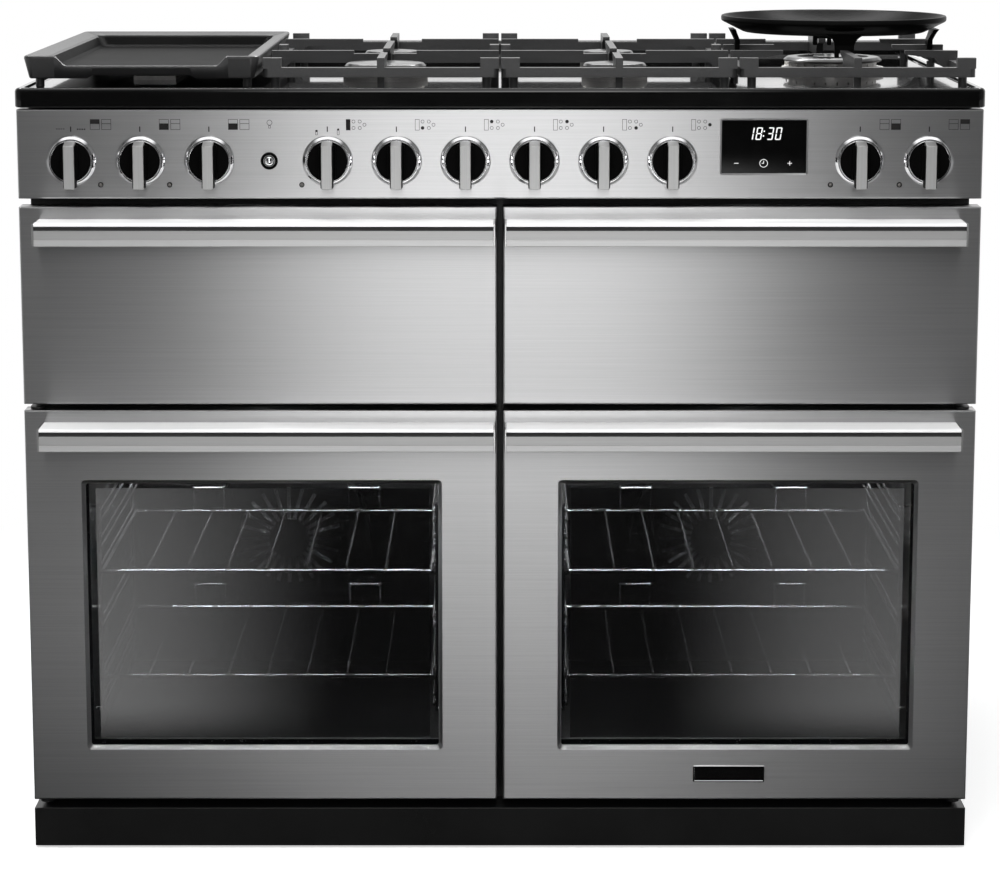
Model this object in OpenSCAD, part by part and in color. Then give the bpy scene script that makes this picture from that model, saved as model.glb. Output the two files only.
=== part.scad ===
// Range cooker with two side-hung ovens, a grill, a drawer and a gas hob
// X runs to the right, Y to the back and Z up, with the origin on the floor under the middle

/* [Overall] */
// Width across the hob
cooker_w = 1092; // [1060:1:1140]
// Depth from the door fronts to the back of the hob
cooker_d = 608; // [590:1:660]
// Thickness of the folded steel sheet
sheet_t = 1.5; // [1.2:0.1:1.8]
// Running clearance between a moving part and its neighbours
clear = 0.3; // [0.25:0.05:0.4]
// Radial clearance of a pin or a shaft in its bore
fit = 0.05; // [0.03:0.01:0.08]

/* [Front heights] */
// Gap between the floor and the plinth
plinth_lift = 3; // [2:0.5:6]
// Height of the plinth
plinth_h = 46; // [44:1:70]
// Gap between the plinth and the oven doors
ledge_gap = 10; // [8:1:14]
// Height of an oven door
oven_door_h = 463; // [450:1:500]
// Gap between the oven doors and the upper fronts
front_gap = 7; // [6:0.5:10]
// Height of the grill door and of the drawer front
upper_h = 227; // [220:1:245]
// Gap between the upper fronts and the control panel
fascia_gap = 9; // [5:0.5:12]
// Height of the control panel
fascia_h = 101; // [96:1:120]
// Gap between the control panel and the hob
hob_gap = 2; // [1:0.5:4]

/* [Fronts] */
// How far the hob stands past the fronts at each side
hob_overhang = 2; // [1:0.5:5]
// How far the case stands in from the edges of the fronts
side_setback = 7; // [5:0.5:10]
// Gap between the left and right fronts
door_gap = 6.6; // [5:0.2:9]
// Full thickness of a door
door_t = 38; // [36:1:46]
// Depth of a door's outer pan
pan_t = 24; // [22:1:28]
// Width of the lip round the back of a pan
pan_lip = 32; // [28:1:36]
// How far a door's inner side stands in from its edges
inner_inset = 20; // [18:1:24]
// Thickness of the door seals
seal_t = 5; // [4:0.5:7]
// Width of the door seals
seal_w = 10; // [8:1:12]
// Thickness of the front frame
frame_t = 2; // [1.5:0.5:3]

/* [Handles] */
// How far a handle stands out from its door
handle_reach = 43; // [38:1:50]
// Height of the handle's front face
handle_h = 26; // [22:1:32]
// Thickness of the handle's top plate
handle_top_t = 4; // [3:0.5:6]
// Thickness of the handle's front plate
handle_front_t = 4; // [3:0.5:6]
// Distance from the top of a door down to its handle
handle_drop = 14; // [10:1:20]
// Distance from the handle to the door's outer edge
handle_outer = 21; // [15:1:30]
// Distance from the handle to the door's inner edge
handle_inner = 2; // [1:0.5:6]
// Thickness of the handle's end caps
cap_t = 2; // [1.5:0.5:4]

/* [Windows] */
// Width of an oven window
window_w = 405; // [380:1:420]
// Height of an oven window
window_h = 312; // [290:1:320]
// Height of the window above the bottom of its door
window_lift = 65; // [60:1:75]
// Width of the raised rim round the window
window_rim = 14; // [12:1:16]
// How far the window glass sits behind the door face
window_sink = 5; // [4:0.5:6]
// Thickness of the door glass
glass_t = 4; // [3:0.5:5]

/* [Hinges] */
// Radius of an oven door's pivot pin
pivot_r = 4; // [3:0.5:5]
// Length of an oven door's pivot pin in its door
pivot_l = 14; // [10:1:18]
// Distance from a door's outer edge to its pivot
pivot_in = 14; // [13:0.5:16]
// Radius of the grill door's hinge pins
grill_pin_r = 3; // [2.5:0.25:3.25]
// Height of the grill door's hinge line above its lower edge
grill_pin_up = 7; // [6.5:0.5:8]
// Distance of the grill door's hinge line behind its face
grill_pin_in = 6.5; // [6.5:0.25:7]
// Distance of each grill hinge from the ends of the door
grill_hinge_x = 70; // [60:1:90]

/* [Ovens] */
// Inner width of an oven
oven_w = 420; // [412:1:430]
// Inner height of an oven
oven_h = 365; // [350:1:375]
// Inner depth of an oven
oven_d = 400; // [390:1:420]
// Height of the oven floor above the bottom of its door
oven_lift = 41; // [36:1:46]
// Height step of the shelf racks
rack_step = 31.75; // [30:0.25:34]
// Radius of the wire of the racks
rack_r = 1.75; // [1.5:0.25:2]
// Radius of the frame wire of a shelf
shelf_r = 2.6; // [2.2:0.1:3]
// Spacing of the wires across a shelf
shelf_pitch = 46.6; // [40:0.1:56]
// Space between the front of an oven and its shelves
shelf_front = 8; // [5:1:20]
// Space between the shelves and the fan cover
shelf_back = 38; // [30:1:60]
// Radius of the fan cover
cover_r = 105; // [98:1:112]
// Depth of the fan cover
cover_d = 34; // [32:1:40]
// Radius of the fan
fan_r = 66; // [56:1:70]
// Radius of the fan motor's shaft
shaft_r = 4; // [3:0.5:5]

/* [Grill and drawer] */
// Inner height of the grill chamber
grill_h = 155; // [145:1:160]
// Inner depth of the grill chamber
grill_d = 380; // [360:1:400]
// Height of the grill floor above the bottom of its door
grill_lift = 51; // [48:1:55]
// Outer width of the drawer's box
drawer_w = 412; // [390:1:424]
// Height of the drawer's box
drawer_h = 94; // [70:1:110]
// Depth of the drawer's box
drawer_d = 430; // [420:1:450]
// Height of the drawer's box above the bottom of its front
drawer_lift = 27; // [25:1:34]
// Space for the runner at each side of the drawer
runner_w = 14; // [13:0.5:16]
// Height of the fixed runner
runner_h = 34; // [30:1:40]
// Travel of the drawer
drawer_travel = 380; // [375:1:390]

/* [Controls] */
// Height of the knob centres above the bottom of the control panel
knob_up = 43; // [40:1:50]
// Spacing of the knobs within a group
knob_pitch = 77.7; // [72:0.1:80]
// Distance of the first and the last knob from the middle
knob_far = 482.9; // [478:0.1:486]
// Radius of a knob's round plate
knob_r = 23.6; // [21:0.1:24]
// Depth of a knob's round plate
knob_plate = 8; // [6:0.5:10]
// Height of a knob's grip bar above its plate
knob_grip = 14; // [10:0.5:16]
// Width of a knob's grip bar
knob_bar = 14; // [12:0.5:16]
// Reach of a knob's grip bar above the knob's axis
bar_rise = 20.5; // [18:0.5:24]
// Reach of a knob's grip bar below the knob's axis
bar_fall = 30; // [26:0.5:31]
// Radius of the shafts that carry the knobs
spindle_r = 3; // [2.5:0.25:3.5]
// Outer radius of a bezel ring
bezel_r = 28.3; // [27:0.1:30]
// Depth of a bezel ring
bezel_d = 6; // [4:0.5:8]
// Distance of the light button from the middle
button_x = 260; // [252:1:268]
// Radius of the light button
button_r = 6; // [5:0.5:7]
// Travel of the light button
button_travel = 2.5; // [2:0.25:3]
// Width of the clock
clock_w = 95.5; // [90:0.5:100]
// Height of the clock
clock_h = 60; // [55:0.5:64]
// Distance of the clock's centre from the middle
clock_x = 297.4; // [294:0.1:300]
// Radius of an indicator lens
lens_r = 3; // [2.5:0.5:4]

/* [Hob] */
// Height of the hob's rim
hob_h = 22; // [20:1:28]
// Depth of the hob's deck below its rim
hob_recess = 3; // [2:0.5:4]
// Height of the rear upstand above the hob
upstand_h = 18; // [10:1:30]
// Depth of the rear upstand
upstand_d = 24; // [20:1:28]
// Distance of the front burners from the front edge
burner_front = 178; // [170:1:186]
// Distance of the rear burners from the front edge
burner_rear = 405; // [396:1:414]
// Radius of the front left burner
burner_big = 50; // [44:1:54]
// Radius of the other three small burners
burner_small = 36; // [32:1:40]
// Radius of the wok burner
burner_wok = 62; // [56:1:68]
// Distance of the griddle and the right pan support from the sides of the hob
hob_side = 5.5; // [4:0.5:8]
// Gap between the pan supports
support_gap = 3; // [2:0.5:4]
// Distance from the hob's front edge to a pan support
support_front = 40; // [36:1:50]
// Distance from the rear upstand to a pan support
support_back = 50; // [40:1:60]
// Width of a pan support's bars
bar_w = 11; // [9:0.5:13]
// Height of a pan support's bars
bar_h = 11; // [9:0.5:13]
// Height of the legs under the pan support's bars
leg_h = 12; // [10:1:14]
// Height of the fingers above the bars
finger_up = 11; // [9:0.5:13]
// Height of the wok ring above the pan support
wok_h = 36; // [30:1:44]
// Distance from the hob's front edge to the griddle
griddle_front = 30; // [26:1:40]
// Distance from the rear upstand to the griddle
griddle_back = 64; // [50:1:70]
// Height of the griddle's walls
griddle_h = 26; // [22:1:32]

/* [Underside] */
// Thickness of the base plate
base_t = 2; // [1.5:0.5:3]
// Radius of a front foot
foot_r = 20; // [16:1:24]
// Thickness of a front foot
foot_t = 8; // [6:1:10]
// Radius of a foot's threaded stud
stud_r = 5; // [4:0.5:6]
// Radius of a rear roller
roller_r = 22; // [19:1:23]
// Width of a rear roller
roller_w = 25; // [20:1:30]
// Radius of the roller's axle
axle_r = 5; // [4:0.5:6]
// Distance of the feet and rollers from the sides of the hob
foot_in = 66; // [56:1:86]
// Distance from the case's rear face to the back of the hob
case_back = 25; // [22:1:30]

/* [Services] */
// Outer radius of the gas pipe
gas_r = 8; // [7:0.5:9]
// Radius of the gas pipe's bore
gas_bore = 6.5; // [5:0.5:6.5]
// Distance of the splashback screw holes from the sides of the hob
bracket_in = 96; // [60:1:140]
// Radius of the splashback screw holes
bracket_r = 2.5; // [2:0.25:3.5]
// Radius of the cable entry in the back panel
cable_r = 10; // [8:0.5:12]

/* [Hidden] */
$fn = 48;

front_w = cooker_w - 2 * hob_overhang;
case_w = front_w - 2 * side_setback;
inside_w = case_w - 2 * sheet_t;
door_w = (front_w - door_gap) / 2;
bay_x = (door_gap + door_w) / 2;

total_d = cooker_d + handle_reach;
y_front = handle_reach - total_d / 2;
y_back = total_d / 2;
y_frame = y_front + door_t + seal_t + clear;
y_inside = y_frame + frame_t;
y_case = y_back - case_back;

z_plinth = plinth_lift + plinth_h;
z_door = z_plinth + ledge_gap;
z_upper = z_door + oven_door_h + front_gap;
z_fascia = z_upper + upper_h + fascia_gap;
z_fascia_top = z_fascia + fascia_h;
z_case = z_fascia_top + hob_gap;
z_hob = z_case + hob_h;
z_deck = z_hob - hob_recess;
z_oven = z_door + oven_lift;
z_grill = z_upper + grill_lift;
z_knob = z_fascia + knob_up;
z_bar = z_deck + leg_h;
z_finger = z_bar + bar_h + finger_up;

pivot_x = front_w / 2 - pivot_in;
pivot_y = y_front + pan_t / 2;
grill_pin_y = y_front + grill_pin_in;
grill_pin_z = z_upper + grill_pin_up;
y_oven_back = y_inside + oven_d;
fan_z = z_oven + oven_h / 2 - 8.5;
drawer_bay_w = drawer_w + 2 * runner_w;
drawer_room = 96;
drawer_bay_h = drawer_h + drawer_room;
z_drawer_bay = z_upper + drawer_lift - 8;
z_runner = z_upper + drawer_lift + drawer_h - runner_h / 2 - 12;
lip_t = 1.5;
runner_l = drawer_travel + 20;
window_x = (door_w - window_w) / 2;

knob_xs = concat([for (i = [0:2]) -knob_far + i * knob_pitch],
    [for (i = [0:5]) (i - 2.5) * knob_pitch],
    [for (i = [1:-1:0]) knob_far - i * knob_pitch]);
lens_side = 32.5;
lens_xs = [lens_side - knob_far, lens_side - knob_far + knob_pitch, lens_side + 4 - button_x,
    knob_far - knob_pitch - lens_side, knob_far - lens_side];
lens_up = 16;
ring_d = 2.5;
clock_drop = 12;
z_rail = z_knob - 16;
supply_x = knob_xs[8] + 28;

support_w = (cooker_w - 2 * hob_side - 3 * support_gap) / 4;
support_d = cooker_d - upstand_d - support_front - support_back;
griddle_w = support_w;
griddle_d = cooker_d - upstand_d - griddle_front - griddle_back;
left_burner_x = -(support_gap + support_w) / 2;
// Small burners as distance from the middle, distance from the front edge and radius
burners = [[left_burner_x, burner_front, burner_big], [left_burner_x, burner_rear, burner_small],
    [-left_burner_x, burner_front, burner_small + 3],
    [-left_burner_x, burner_rear, burner_small - 2]];
rise = bar_h + finger_up;
lug_l = 21;
finger_t = bar_w - 2;
rest_t = bar_w - 2.5;
tip_gap = 37;
tip_cut = 24;
wok_finger = 62;
wok_r = support_w / 2 + support_gap - 0.5;
wok_leg_r = wok_r - 19;
leg_grip = 8;
leg_seat = 4;
wok_x = support_gap / 2 + support_gap + 1.5 * support_w;
wok_back = (burner_front + burner_rear) / 2;
griddle_x = -(support_gap / 2 + support_w + support_gap + griddle_w / 2);
griddle_foot = 11;
shelf_levels = [2, 6];
shelf_d = oven_d - cover_d - shelf_front - shelf_back;
rack_levels = [1, 2, 4, 6, 7, 8];
rack_low = 30.5;
rack_gap = 5.8;
rack_in = 14.5;
post_in = 11;
post_r = 2;
wire_r = 1.75;
stop_h = 30;
z_pipe = z_case - 38;
feed_r = 3;
elbow = 1;
foot_x = cooker_w / 2 - foot_in;
bracket_x = cooker_w / 2 - bracket_in;
pan_drop = 52;
pan_short = 50;
motor_r = 34;
motor_l = 46;
element_l = grill_d - 92;
cable_x = 110 - case_w / 2;
z_cable = z_deck - 115;
cup_share = 0.28;

// Box between two corners
module box(x0, x1, y0, y1, z0, z1) {
    translate([x0, y0, z0]) cube([x1 - x0, y1 - y0, z1 - z0]);
}

// Round bars along each axis, starting at a point
module bar_x(r, from, l) { translate(from) rotate([0, 90, 0]) cylinder(r = r, h = l); }
module bar_y(r, from, l) { translate(from) rotate([-90, 0, 0]) cylinder(r = r, h = l); }
module bar_z(r, from, l) { translate(from) cylinder(r = r, h = l); }

// Rectangle about the origin with round corners
module round_rect(w, d, r) {
    square([w - 2 * r, d], center = true);
    square([w, d - 2 * r], center = true);
    for (sx = [-1, 1], sy = [-1, 1])
        translate([sx * (w / 2 - r), sy * (d / 2 - r)]) circle(r = r);
}

// What is drawn for the left side is kept or mirrored
module on_side(s) {
    if (s < 0) children();
    else mirror([1, 0, 0]) children();
}

// A front's own corner: its outer lower edge on the door plane, drawn for the left side
module at_front(s, z) { on_side(s) translate([-front_w / 2, y_front, z]) children(); }

// Folded pan that forms the outside of a door, open at the back inside its lip
module door_pan(h) {
    difference() {
        cube([door_w, pan_t, h]);
        translate([sheet_t, sheet_t, sheet_t])
            cube([door_w - 2 * sheet_t, pan_t - 2 * sheet_t, h - 2 * sheet_t]);
        translate([pan_lip, pan_t / 2, pan_lip])
            cube([door_w - 2 * pan_lip, pan_t, h - 2 * pan_lip]);
    }
}

// Finger pull with a top plate, a front plate and two end caps
module finger_pull(h) {
    x1 = door_w - handle_inner;
    top = h - handle_drop;
    box(handle_outer, x1, -handle_reach, 0, top - handle_top_t, top);
    box(handle_outer, x1, -handle_reach, handle_front_t - handle_reach, top - handle_h, top);
    for (x = [handle_outer, x1 - cap_t])
        box(x, x + cap_t, -handle_reach, 0, top - handle_h, top);
}

module oven_door_panel(s) {
    boss = pivot_r + 4;
    at_front(s, z_door) difference() {
        union() {
            door_pan(oven_door_h);
            box(window_x - window_rim, window_x + window_w + window_rim, sheet_t / 2, window_sink,
                window_lift - window_rim, window_lift + window_h + window_rim);
            for (z = [sheet_t / 2, oven_door_h - sheet_t / 2 - pivot_l])
                box(sheet_t / 2, pivot_in + boss, sheet_t / 2, pan_t - sheet_t / 2, z, z + pivot_l);
        }
        box(window_x, window_x + window_w, -1, window_sink + 1, window_lift, window_lift + window_h);
        for (z = [-1, oven_door_h - pivot_l - clear])
            bar_z(pivot_r + fit, [pivot_in, pan_t / 2, z], pivot_l + clear + 1);
    }
}

module oven_door_glass(s) {
    seat = window_rim - 4;
    at_front(s, z_door) {
        box(window_x - seat, window_x + window_w + seat, window_sink, window_sink + glass_t,
            window_lift - seat, window_lift + window_h + seat);
        box(window_x - 6, window_x + window_w + 6, pan_t + clear, pan_t + clear + glass_t,
            window_lift - 6, window_lift + window_h + 6);
    }
}

module oven_door_inner(s) {
    pane = 6 + clear;
    at_front(s, z_door) difference() {
        box(inner_inset, door_w - inner_inset, pan_t, door_t, inner_inset, oven_door_h - inner_inset);
        box(window_x, window_x + window_w, pan_t - 1, door_t + 1,
            window_lift, window_lift + window_h);
        box(window_x - pane, window_x + window_w + pane, pan_t - 1, pan_t + clear + glass_t,
            window_lift - pane, window_lift + window_h + pane);
        for (z = [inner_inset + sheet_t, window_lift + window_h + window_rim])
            box(inner_inset + sheet_t, door_w - inner_inset - sheet_t, pan_t - 1, door_t - sheet_t,
                z, z == inner_inset + sheet_t ? window_lift - window_rim
                : oven_door_h - inner_inset - sheet_t);
    }
}

module side_panels() {
    color("dimgray") for (s = [-1, 1]) on_side(s)
        box(-case_w / 2, sheet_t - case_w / 2, y_frame, y_case - sheet_t, z_plinth, z_case);
}

module back_panel() {
    color("silver") difference() {
        union() {
            box(-case_w / 2, case_w / 2, y_case - sheet_t, y_case, z_plinth, z_case);
            box(cable_x - 50, cable_x + 50, y_case, y_case + 14, z_cable - 35, z_cable + 35);
        }
        bar_y(cable_r, [cable_x, y_case - sheet_t - 1, z_cable], 20);
        bar_y(gas_r + clear, [supply_x, y_case - sheet_t - 1, z_rail], 20);
        for (x = [-bracket_x, bracket_x])
            bar_y(bracket_r, [x, y_case - sheet_t - 1, z_case - 12], 20);
        for (x = [-240:24:240], z = [z_oven + 40, z_oven + 240])
            box(x, x + 8, y_case - sheet_t - 1, y_case + 1, z, z + 60);
    }
}

module chassis_base() {
    y1 = y_case - sheet_t;
    color("gray") difference() {
        union() {
            box(-inside_w / 2, inside_w / 2, y_inside, y1, z_plinth, z_plinth + base_t);
            for (s = [-1, 1]) on_side(s) {
                box(-inside_w / 2, base_t - inside_w / 2, y_inside, y1, z_plinth - 20, z_plinth);
                for (x = [-foot_x - roller_w / 2 - 4, -foot_x + roller_w / 2 + 1])
                    box(x, x + 3, y1 - 90, y1 - 40, roller_r - axle_r - 6, z_plinth);
                for (x = [-bay_x - 150, -bay_x + 130])
                    box(x, x + 20, y_inside + 10, y1 - 60, z_plinth + base_t, z_oven - sheet_t);
            }
        }
        for (s = [-1, 1])
            bar_z(stud_r + fit, [s * foot_x, y_inside + 45, z_plinth - 1], base_t + 2);
        bar_x(axle_r + fit, [-case_w / 2, y1 - 65, roller_r], case_w);
    }
}

module oven_pivots() {
    for (top = [0, 1]) {
        tab = top ? front_gap - 4.6 : 4;
        z = top ? z_door + oven_door_h + clear : z_door - clear - tab;
        translate([-pivot_x, 0, z]) {
            box(-8, 8, pivot_y, y_frame, 0, tab);
            bar_z(8, [0, pivot_y, 0], tab);
            bar_z(pivot_r, [0, pivot_y, top ? -pivot_l : tab - 1], pivot_l + 1);
        }
    }
}

module grill_lugs() {
    half = grill_pin_r + 0.5;
    for (x = [grill_hinge_x, door_w - grill_hinge_x]) translate([x - front_w / 2, 0, grill_pin_z]) {
        bar_x(half, [-5, grill_pin_y, 0], 10);
        box(-5, 5, grill_pin_y, y_frame, -half, half);
        bar_x(grill_pin_r, [-17, grill_pin_y, 0], 34);
    }
}

module front_frame() {
    color("dimgray") {
        difference() {
            box(-inside_w / 2, inside_w / 2, y_frame, y_inside, z_plinth, z_case);
            for (s = [-1, 1]) translate([s * bay_x, 0, 0])
                box(-oven_w / 2, oven_w / 2, y_frame - 1, y_inside + 1, z_oven, z_oven + oven_h);
            box(-bay_x - oven_w / 2, -bay_x + oven_w / 2, y_frame - 1, y_inside + 1,
                z_grill, z_grill + grill_h);
            box(bay_x - drawer_bay_w / 2, bay_x + drawer_bay_w / 2, y_frame - 1, y_inside + 1,
                z_drawer_bay, z_drawer_bay + drawer_bay_h);
            box(-230, 230, y_frame - 1, y_inside + 1, z_pipe - 12, z_pipe + 12);
            bar_y(gas_r + clear, [supply_x, y_frame - 1, z_rail], frame_t + 2);
        }
        for (s = [-1, 1]) on_side(s) oven_pivots();
        grill_lugs();
    }
}

module plinth() {
    w = front_w / 2;
    color("black") difference() {
        box(-w, w, y_front, y_inside, plinth_lift, z_plinth);
        box(sheet_t - w, w - sheet_t, y_front + sheet_t, y_inside + 1, plinth_lift - 1,
            z_plinth - sheet_t);
    }
}

module levelling_feet() {
    color("black") for (s = [-1, 1]) translate([s * foot_x, y_inside + 45, 0]) {
        cylinder(r = foot_r, h = foot_t);
        cylinder(r = stud_r, h = z_plinth + base_t + 8);
        translate([0, 0, z_plinth - 6]) cylinder(r = 10, h = 6, $fn = 6);
    }
}

module rear_rollers() {
    y = y_case - sheet_t - 65;
    color("dimgray") {
        bar_x(axle_r, [-foot_x - roller_w / 2 - 8, y, roller_r], 2 * foot_x + roller_w + 16);
        for (s = [-1, 1]) bar_x(roller_r, [s * foot_x - roller_w / 2, y, roller_r], roller_w);
    }
}

// Box of folded sheet, open at the front, with its inside corner at the origin
module liner(w, d, h) {
    difference() {
        translate([-sheet_t, 0, -sheet_t]) cube([w + 2 * sheet_t, d + sheet_t, h + 2 * sheet_t]);
        translate([0, -1, 0]) cube([w, d + 1, h]);
    }
}

module oven_liner(s) {
    color("dimgray") difference() {
        translate([s * bay_x - oven_w / 2, y_inside, z_oven]) liner(oven_w, oven_d, oven_h);
        bar_y(shaft_r + 2, [s * bay_x, y_oven_back - 1, fan_z], sheet_t + 2);
    }
}

module left_oven_liner() { oven_liner(-1); }
module right_oven_liner() { oven_liner(1); }

module grill_chamber() {
    ledge_z = z_grill + pan_drop - 2;
    color("dimgray") {
        translate([-bay_x - oven_w / 2, y_inside, z_grill]) liner(oven_w, grill_d, grill_h);
        for (x = [-bay_x - oven_w / 2, -bay_x + oven_w / 2 - 14])
            box(x, x + 14, y_inside + 5, y_inside + grill_d, ledge_z, ledge_z + 2);
    }
}

module grill_pan() {
    w = oven_w - 4;
    z0 = z_grill + pan_drop;
    d = grill_d - pan_short;
    color("black") difference() {
        union() {
            box(-bay_x - w / 2 + 16, -bay_x + w / 2 - 16, y_inside + 6, y_inside + 6 + d,
                z0 - 24, z0 + 4);
            box(-bay_x - w / 2, -bay_x + w / 2, y_inside + 6, y_inside + 6 + d, z0, z0 + 4);
        }
        box(-bay_x - w / 2 + 18, -bay_x + w / 2 - 18, y_inside + 8, y_inside + 4 + d,
            z0 - 22, z0 + 5);
    }
}

module runner_profile(x0, x1, half) {
    difference() {
        box(x0, x1, 0, runner_l, -half, half);
        box(x0 + lip_t, x1 + 1, -1, runner_l + 1, lip_t - half, half - lip_t);
    }
}

module drawer_housing() {
    color("dimgray") translate([bay_x - drawer_bay_w / 2, y_inside, z_drawer_bay]) {
        liner(drawer_bay_w, runner_l + 10, drawer_bay_h);
        for (m = [0, 1]) translate([m * drawer_bay_w, 2, z_runner - z_drawer_bay])
            mirror([m, 0, 0]) runner_profile(0, 9, runner_h / 2);
    }
}

module drawer_mid_rails() {
    color("silver") for (m = [0, 1])
        translate([bay_x + (m - 0.5) * drawer_bay_w, y_inside + 2, z_runner]) mirror([m, 0, 0])
            runner_profile(lip_t + clear, 10.5, runner_h / 2 - lip_t - clear);
}

module drawer_box() {
    inner_half = runner_h / 2 - 2 * (lip_t + clear);
    color("silver") {
        at_front(1, z_upper) {
            box(inner_inset, door_w - inner_inset, pan_t, pan_t + sheet_t,
                inner_inset, upper_h - inner_inset);
            difference() {
                translate([(door_w - drawer_w) / 2, pan_t, drawer_lift])
                    cube([drawer_w, drawer_d, drawer_h]);
                translate([(door_w - drawer_w) / 2 + sheet_t, pan_t + sheet_t,
                    drawer_lift + sheet_t])
                    cube([drawer_w - 2 * sheet_t, drawer_d - 2 * sheet_t, drawer_h]);
            }
        }
        for (m = [0, 1])
            translate([bay_x + (m - 0.5) * drawer_bay_w, 0, z_runner]) mirror([m, 0, 0])
                box(2 * (lip_t + clear), runner_w, y_front + pan_t, y_front + pan_t + drawer_d,
                    -inner_half, inner_half);
    }
}

module drawer_front() {
    color("lightgray") at_front(1, z_upper) door_pan(upper_h);
}

module drawer_handle() {
    color("white") at_front(1, z_upper) finger_pull(upper_h);
}

module grill_door_panel() {
    boss = grill_pin_up - sheet_t;
    color("lightgray") at_front(-1, z_upper) difference() {
        union() {
            difference() {
                door_pan(upper_h);
                for (x = [grill_hinge_x, door_w - grill_hinge_x])
                    box(x - 5.5, x + 5.5, sheet_t, pan_t + 1, -1, grill_pin_up + 8);
            }
            for (x = [grill_hinge_x, door_w - grill_hinge_x], side = [-17.5, 5.5])
                box(x + side, x + side + 12, sheet_t / 2, grill_pin_in + boss,
                    sheet_t / 2, grill_pin_up + boss);
        }
        for (x = [grill_hinge_x, door_w - grill_hinge_x])
            bar_x(grill_pin_r + fit, [x - 17 - clear, grill_pin_in, grill_pin_up], 34 + 2 * clear);
    }
}

module grill_door_inner() {
    i = inner_inset;
    color("dimgray") at_front(-1, z_upper) difference() {
        box(i, door_w - i, pan_t, door_t, i, upper_h - i);
        box(i + sheet_t, door_w - i - sheet_t, pan_t - 1, door_t - sheet_t,
            i + sheet_t, upper_h - i - sheet_t);
    }
}

module grill_door_handle() {
    color("white") at_front(-1, z_upper) finger_pull(upper_h);
}

module left_door_panel() { color("lightgray") oven_door_panel(-1); }
module right_door_panel() { color("lightgray") oven_door_panel(1); }
module left_door_glass() { color("black") oven_door_glass(-1); }
module right_door_glass() { color("black") oven_door_glass(1); }
module left_door_inner() { color("dimgray") oven_door_inner(-1); }
module right_door_inner() { color("dimgray") oven_door_inner(1); }
module left_door_handle() { color("white") at_front(-1, z_door) finger_pull(oven_door_h); }
module right_door_handle() { color("white") at_front(1, z_door) finger_pull(oven_door_h); }

module seal_ring(x, z, w, h) {
    difference() {
        box(x - w / 2 - seal_w - 4, x + w / 2 + seal_w + 4, y_frame - seal_t, y_frame,
            z - seal_w - 4, z + h + seal_w + 4);
        box(x - w / 2 - 4, x + w / 2 + 4, y_frame - seal_t - 1, y_frame + 1, z - 4, z + h + 4);
    }
}

module door_seals() {
    color("black") {
        for (s = [-1, 1]) seal_ring(s * bay_x, z_oven, oven_w, oven_h);
        seal_ring(-bay_x, z_grill, oven_w, grill_h);
    }
}

module control_panel() {
    w = front_w / 2;
    color("silver") difference() {
        box(-w, w, y_front, y_frame, z_fascia, z_fascia_top);
        box(sheet_t - w, w - sheet_t, y_front + sheet_t, y_frame + 1,
            z_fascia + sheet_t, z_fascia_top - sheet_t);
        for (x = knob_xs) bar_y(spindle_r + 2, [x, y_front - 1, z_knob], sheet_t + 2);
        bar_y(button_r + 0.5, [-button_x, y_front - 1, z_knob], sheet_t + 2);
        for (x = lens_xs) bar_y(lens_r - 1, [x, y_front - 1, z_fascia + lens_up], sheet_t + 2);
        box(clock_x - clock_w / 2, clock_x + clock_w / 2, y_front - 1, y_front + sheet_t + 1,
            z_fascia_top - clock_drop - clock_h, z_fascia_top - clock_drop);
    }
}

module clock() {
    z1 = z_fascia_top - clock_drop;
    e = 0.1;
    color("black") difference() {
        union() {
            box(clock_x - clock_w / 2 + e, clock_x + clock_w / 2 - e, y_front - 1, y_front + 26,
                z1 - clock_h + e, z1 - e);
            box(clock_x - clock_w / 2 - 3, clock_x + clock_w / 2 + 3, y_front + sheet_t,
                y_front + 26, z1 - clock_h - 3, z1 + 3);
        }
        box(clock_x - clock_w / 2 + 3, clock_x + clock_w / 2 - 3, y_front - 2, y_front + 2,
            z1 - clock_h + 3, z1 - 3);
    }
}

module bezel(x) {
    translate([x, y_front, z_knob]) rotate([90, 0, 0]) rotate_extrude($fn = 64)
        polygon([[knob_r + 0.7, 0], [bezel_r, 0], [bezel_r, bezel_d / 3],
            [knob_r + 1.2, bezel_d], [knob_r + 0.7, bezel_d]]);
}

module knob_bezels() {
    color("silver") {
        for (x = knob_xs) bezel(x);
        translate([-button_x, y_front, z_knob]) rotate([90, 0, 0]) difference() {
            cylinder(r = button_r + 3.75, h = ring_d);
            translate([0, 0, -1]) cylinder(r = button_r + 0.5, h = ring_d + 2);
        }
    }
}

module indicator_lenses() {
    color("red") for (x = lens_xs) translate([x, y_front, z_fascia + lens_up]) {
        rotate([90, 0, 0]) cylinder(r = lens_r, h = 1.5);
        bar_y(lens_r - 1, [0, 0, 0], sheet_t);
    }
}

module knob(i) {
    color("black") translate([knob_xs[i - 1], y_front - clear, z_knob]) difference() {
        union() {
            rotate([90, 0, 0]) cylinder(r = knob_r, h = knob_plate);
            box(-knob_bar / 2, knob_bar / 2, -knob_plate - knob_grip, 1 - knob_plate,
                -bar_fall, bar_rise);
        }
        rotate([90, 0, 0]) translate([0, 0, -1]) cylinder(r = spindle_r + fit, h = 12);
    }
}

module knob_1() { knob(1); }
module knob_2() { knob(2); }
module knob_3() { knob(3); }
module knob_4() { knob(4); }
module knob_5() { knob(5); }
module knob_6() { knob(6); }
module knob_7() { knob(7); }
module knob_8() { knob(8); }
module knob_9() { knob(9); }
module knob_10() { knob(10); }
module knob_11() { knob(11); }

module light_button() {
    color("silver") {
        bar_y(button_r, [-button_x, y_front - ring_d - button_travel - 0.5, z_knob],
            ring_d + button_travel + 2.5);
        bar_y(2, [-button_x, y_front, z_knob], 14);
    }
}

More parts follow.
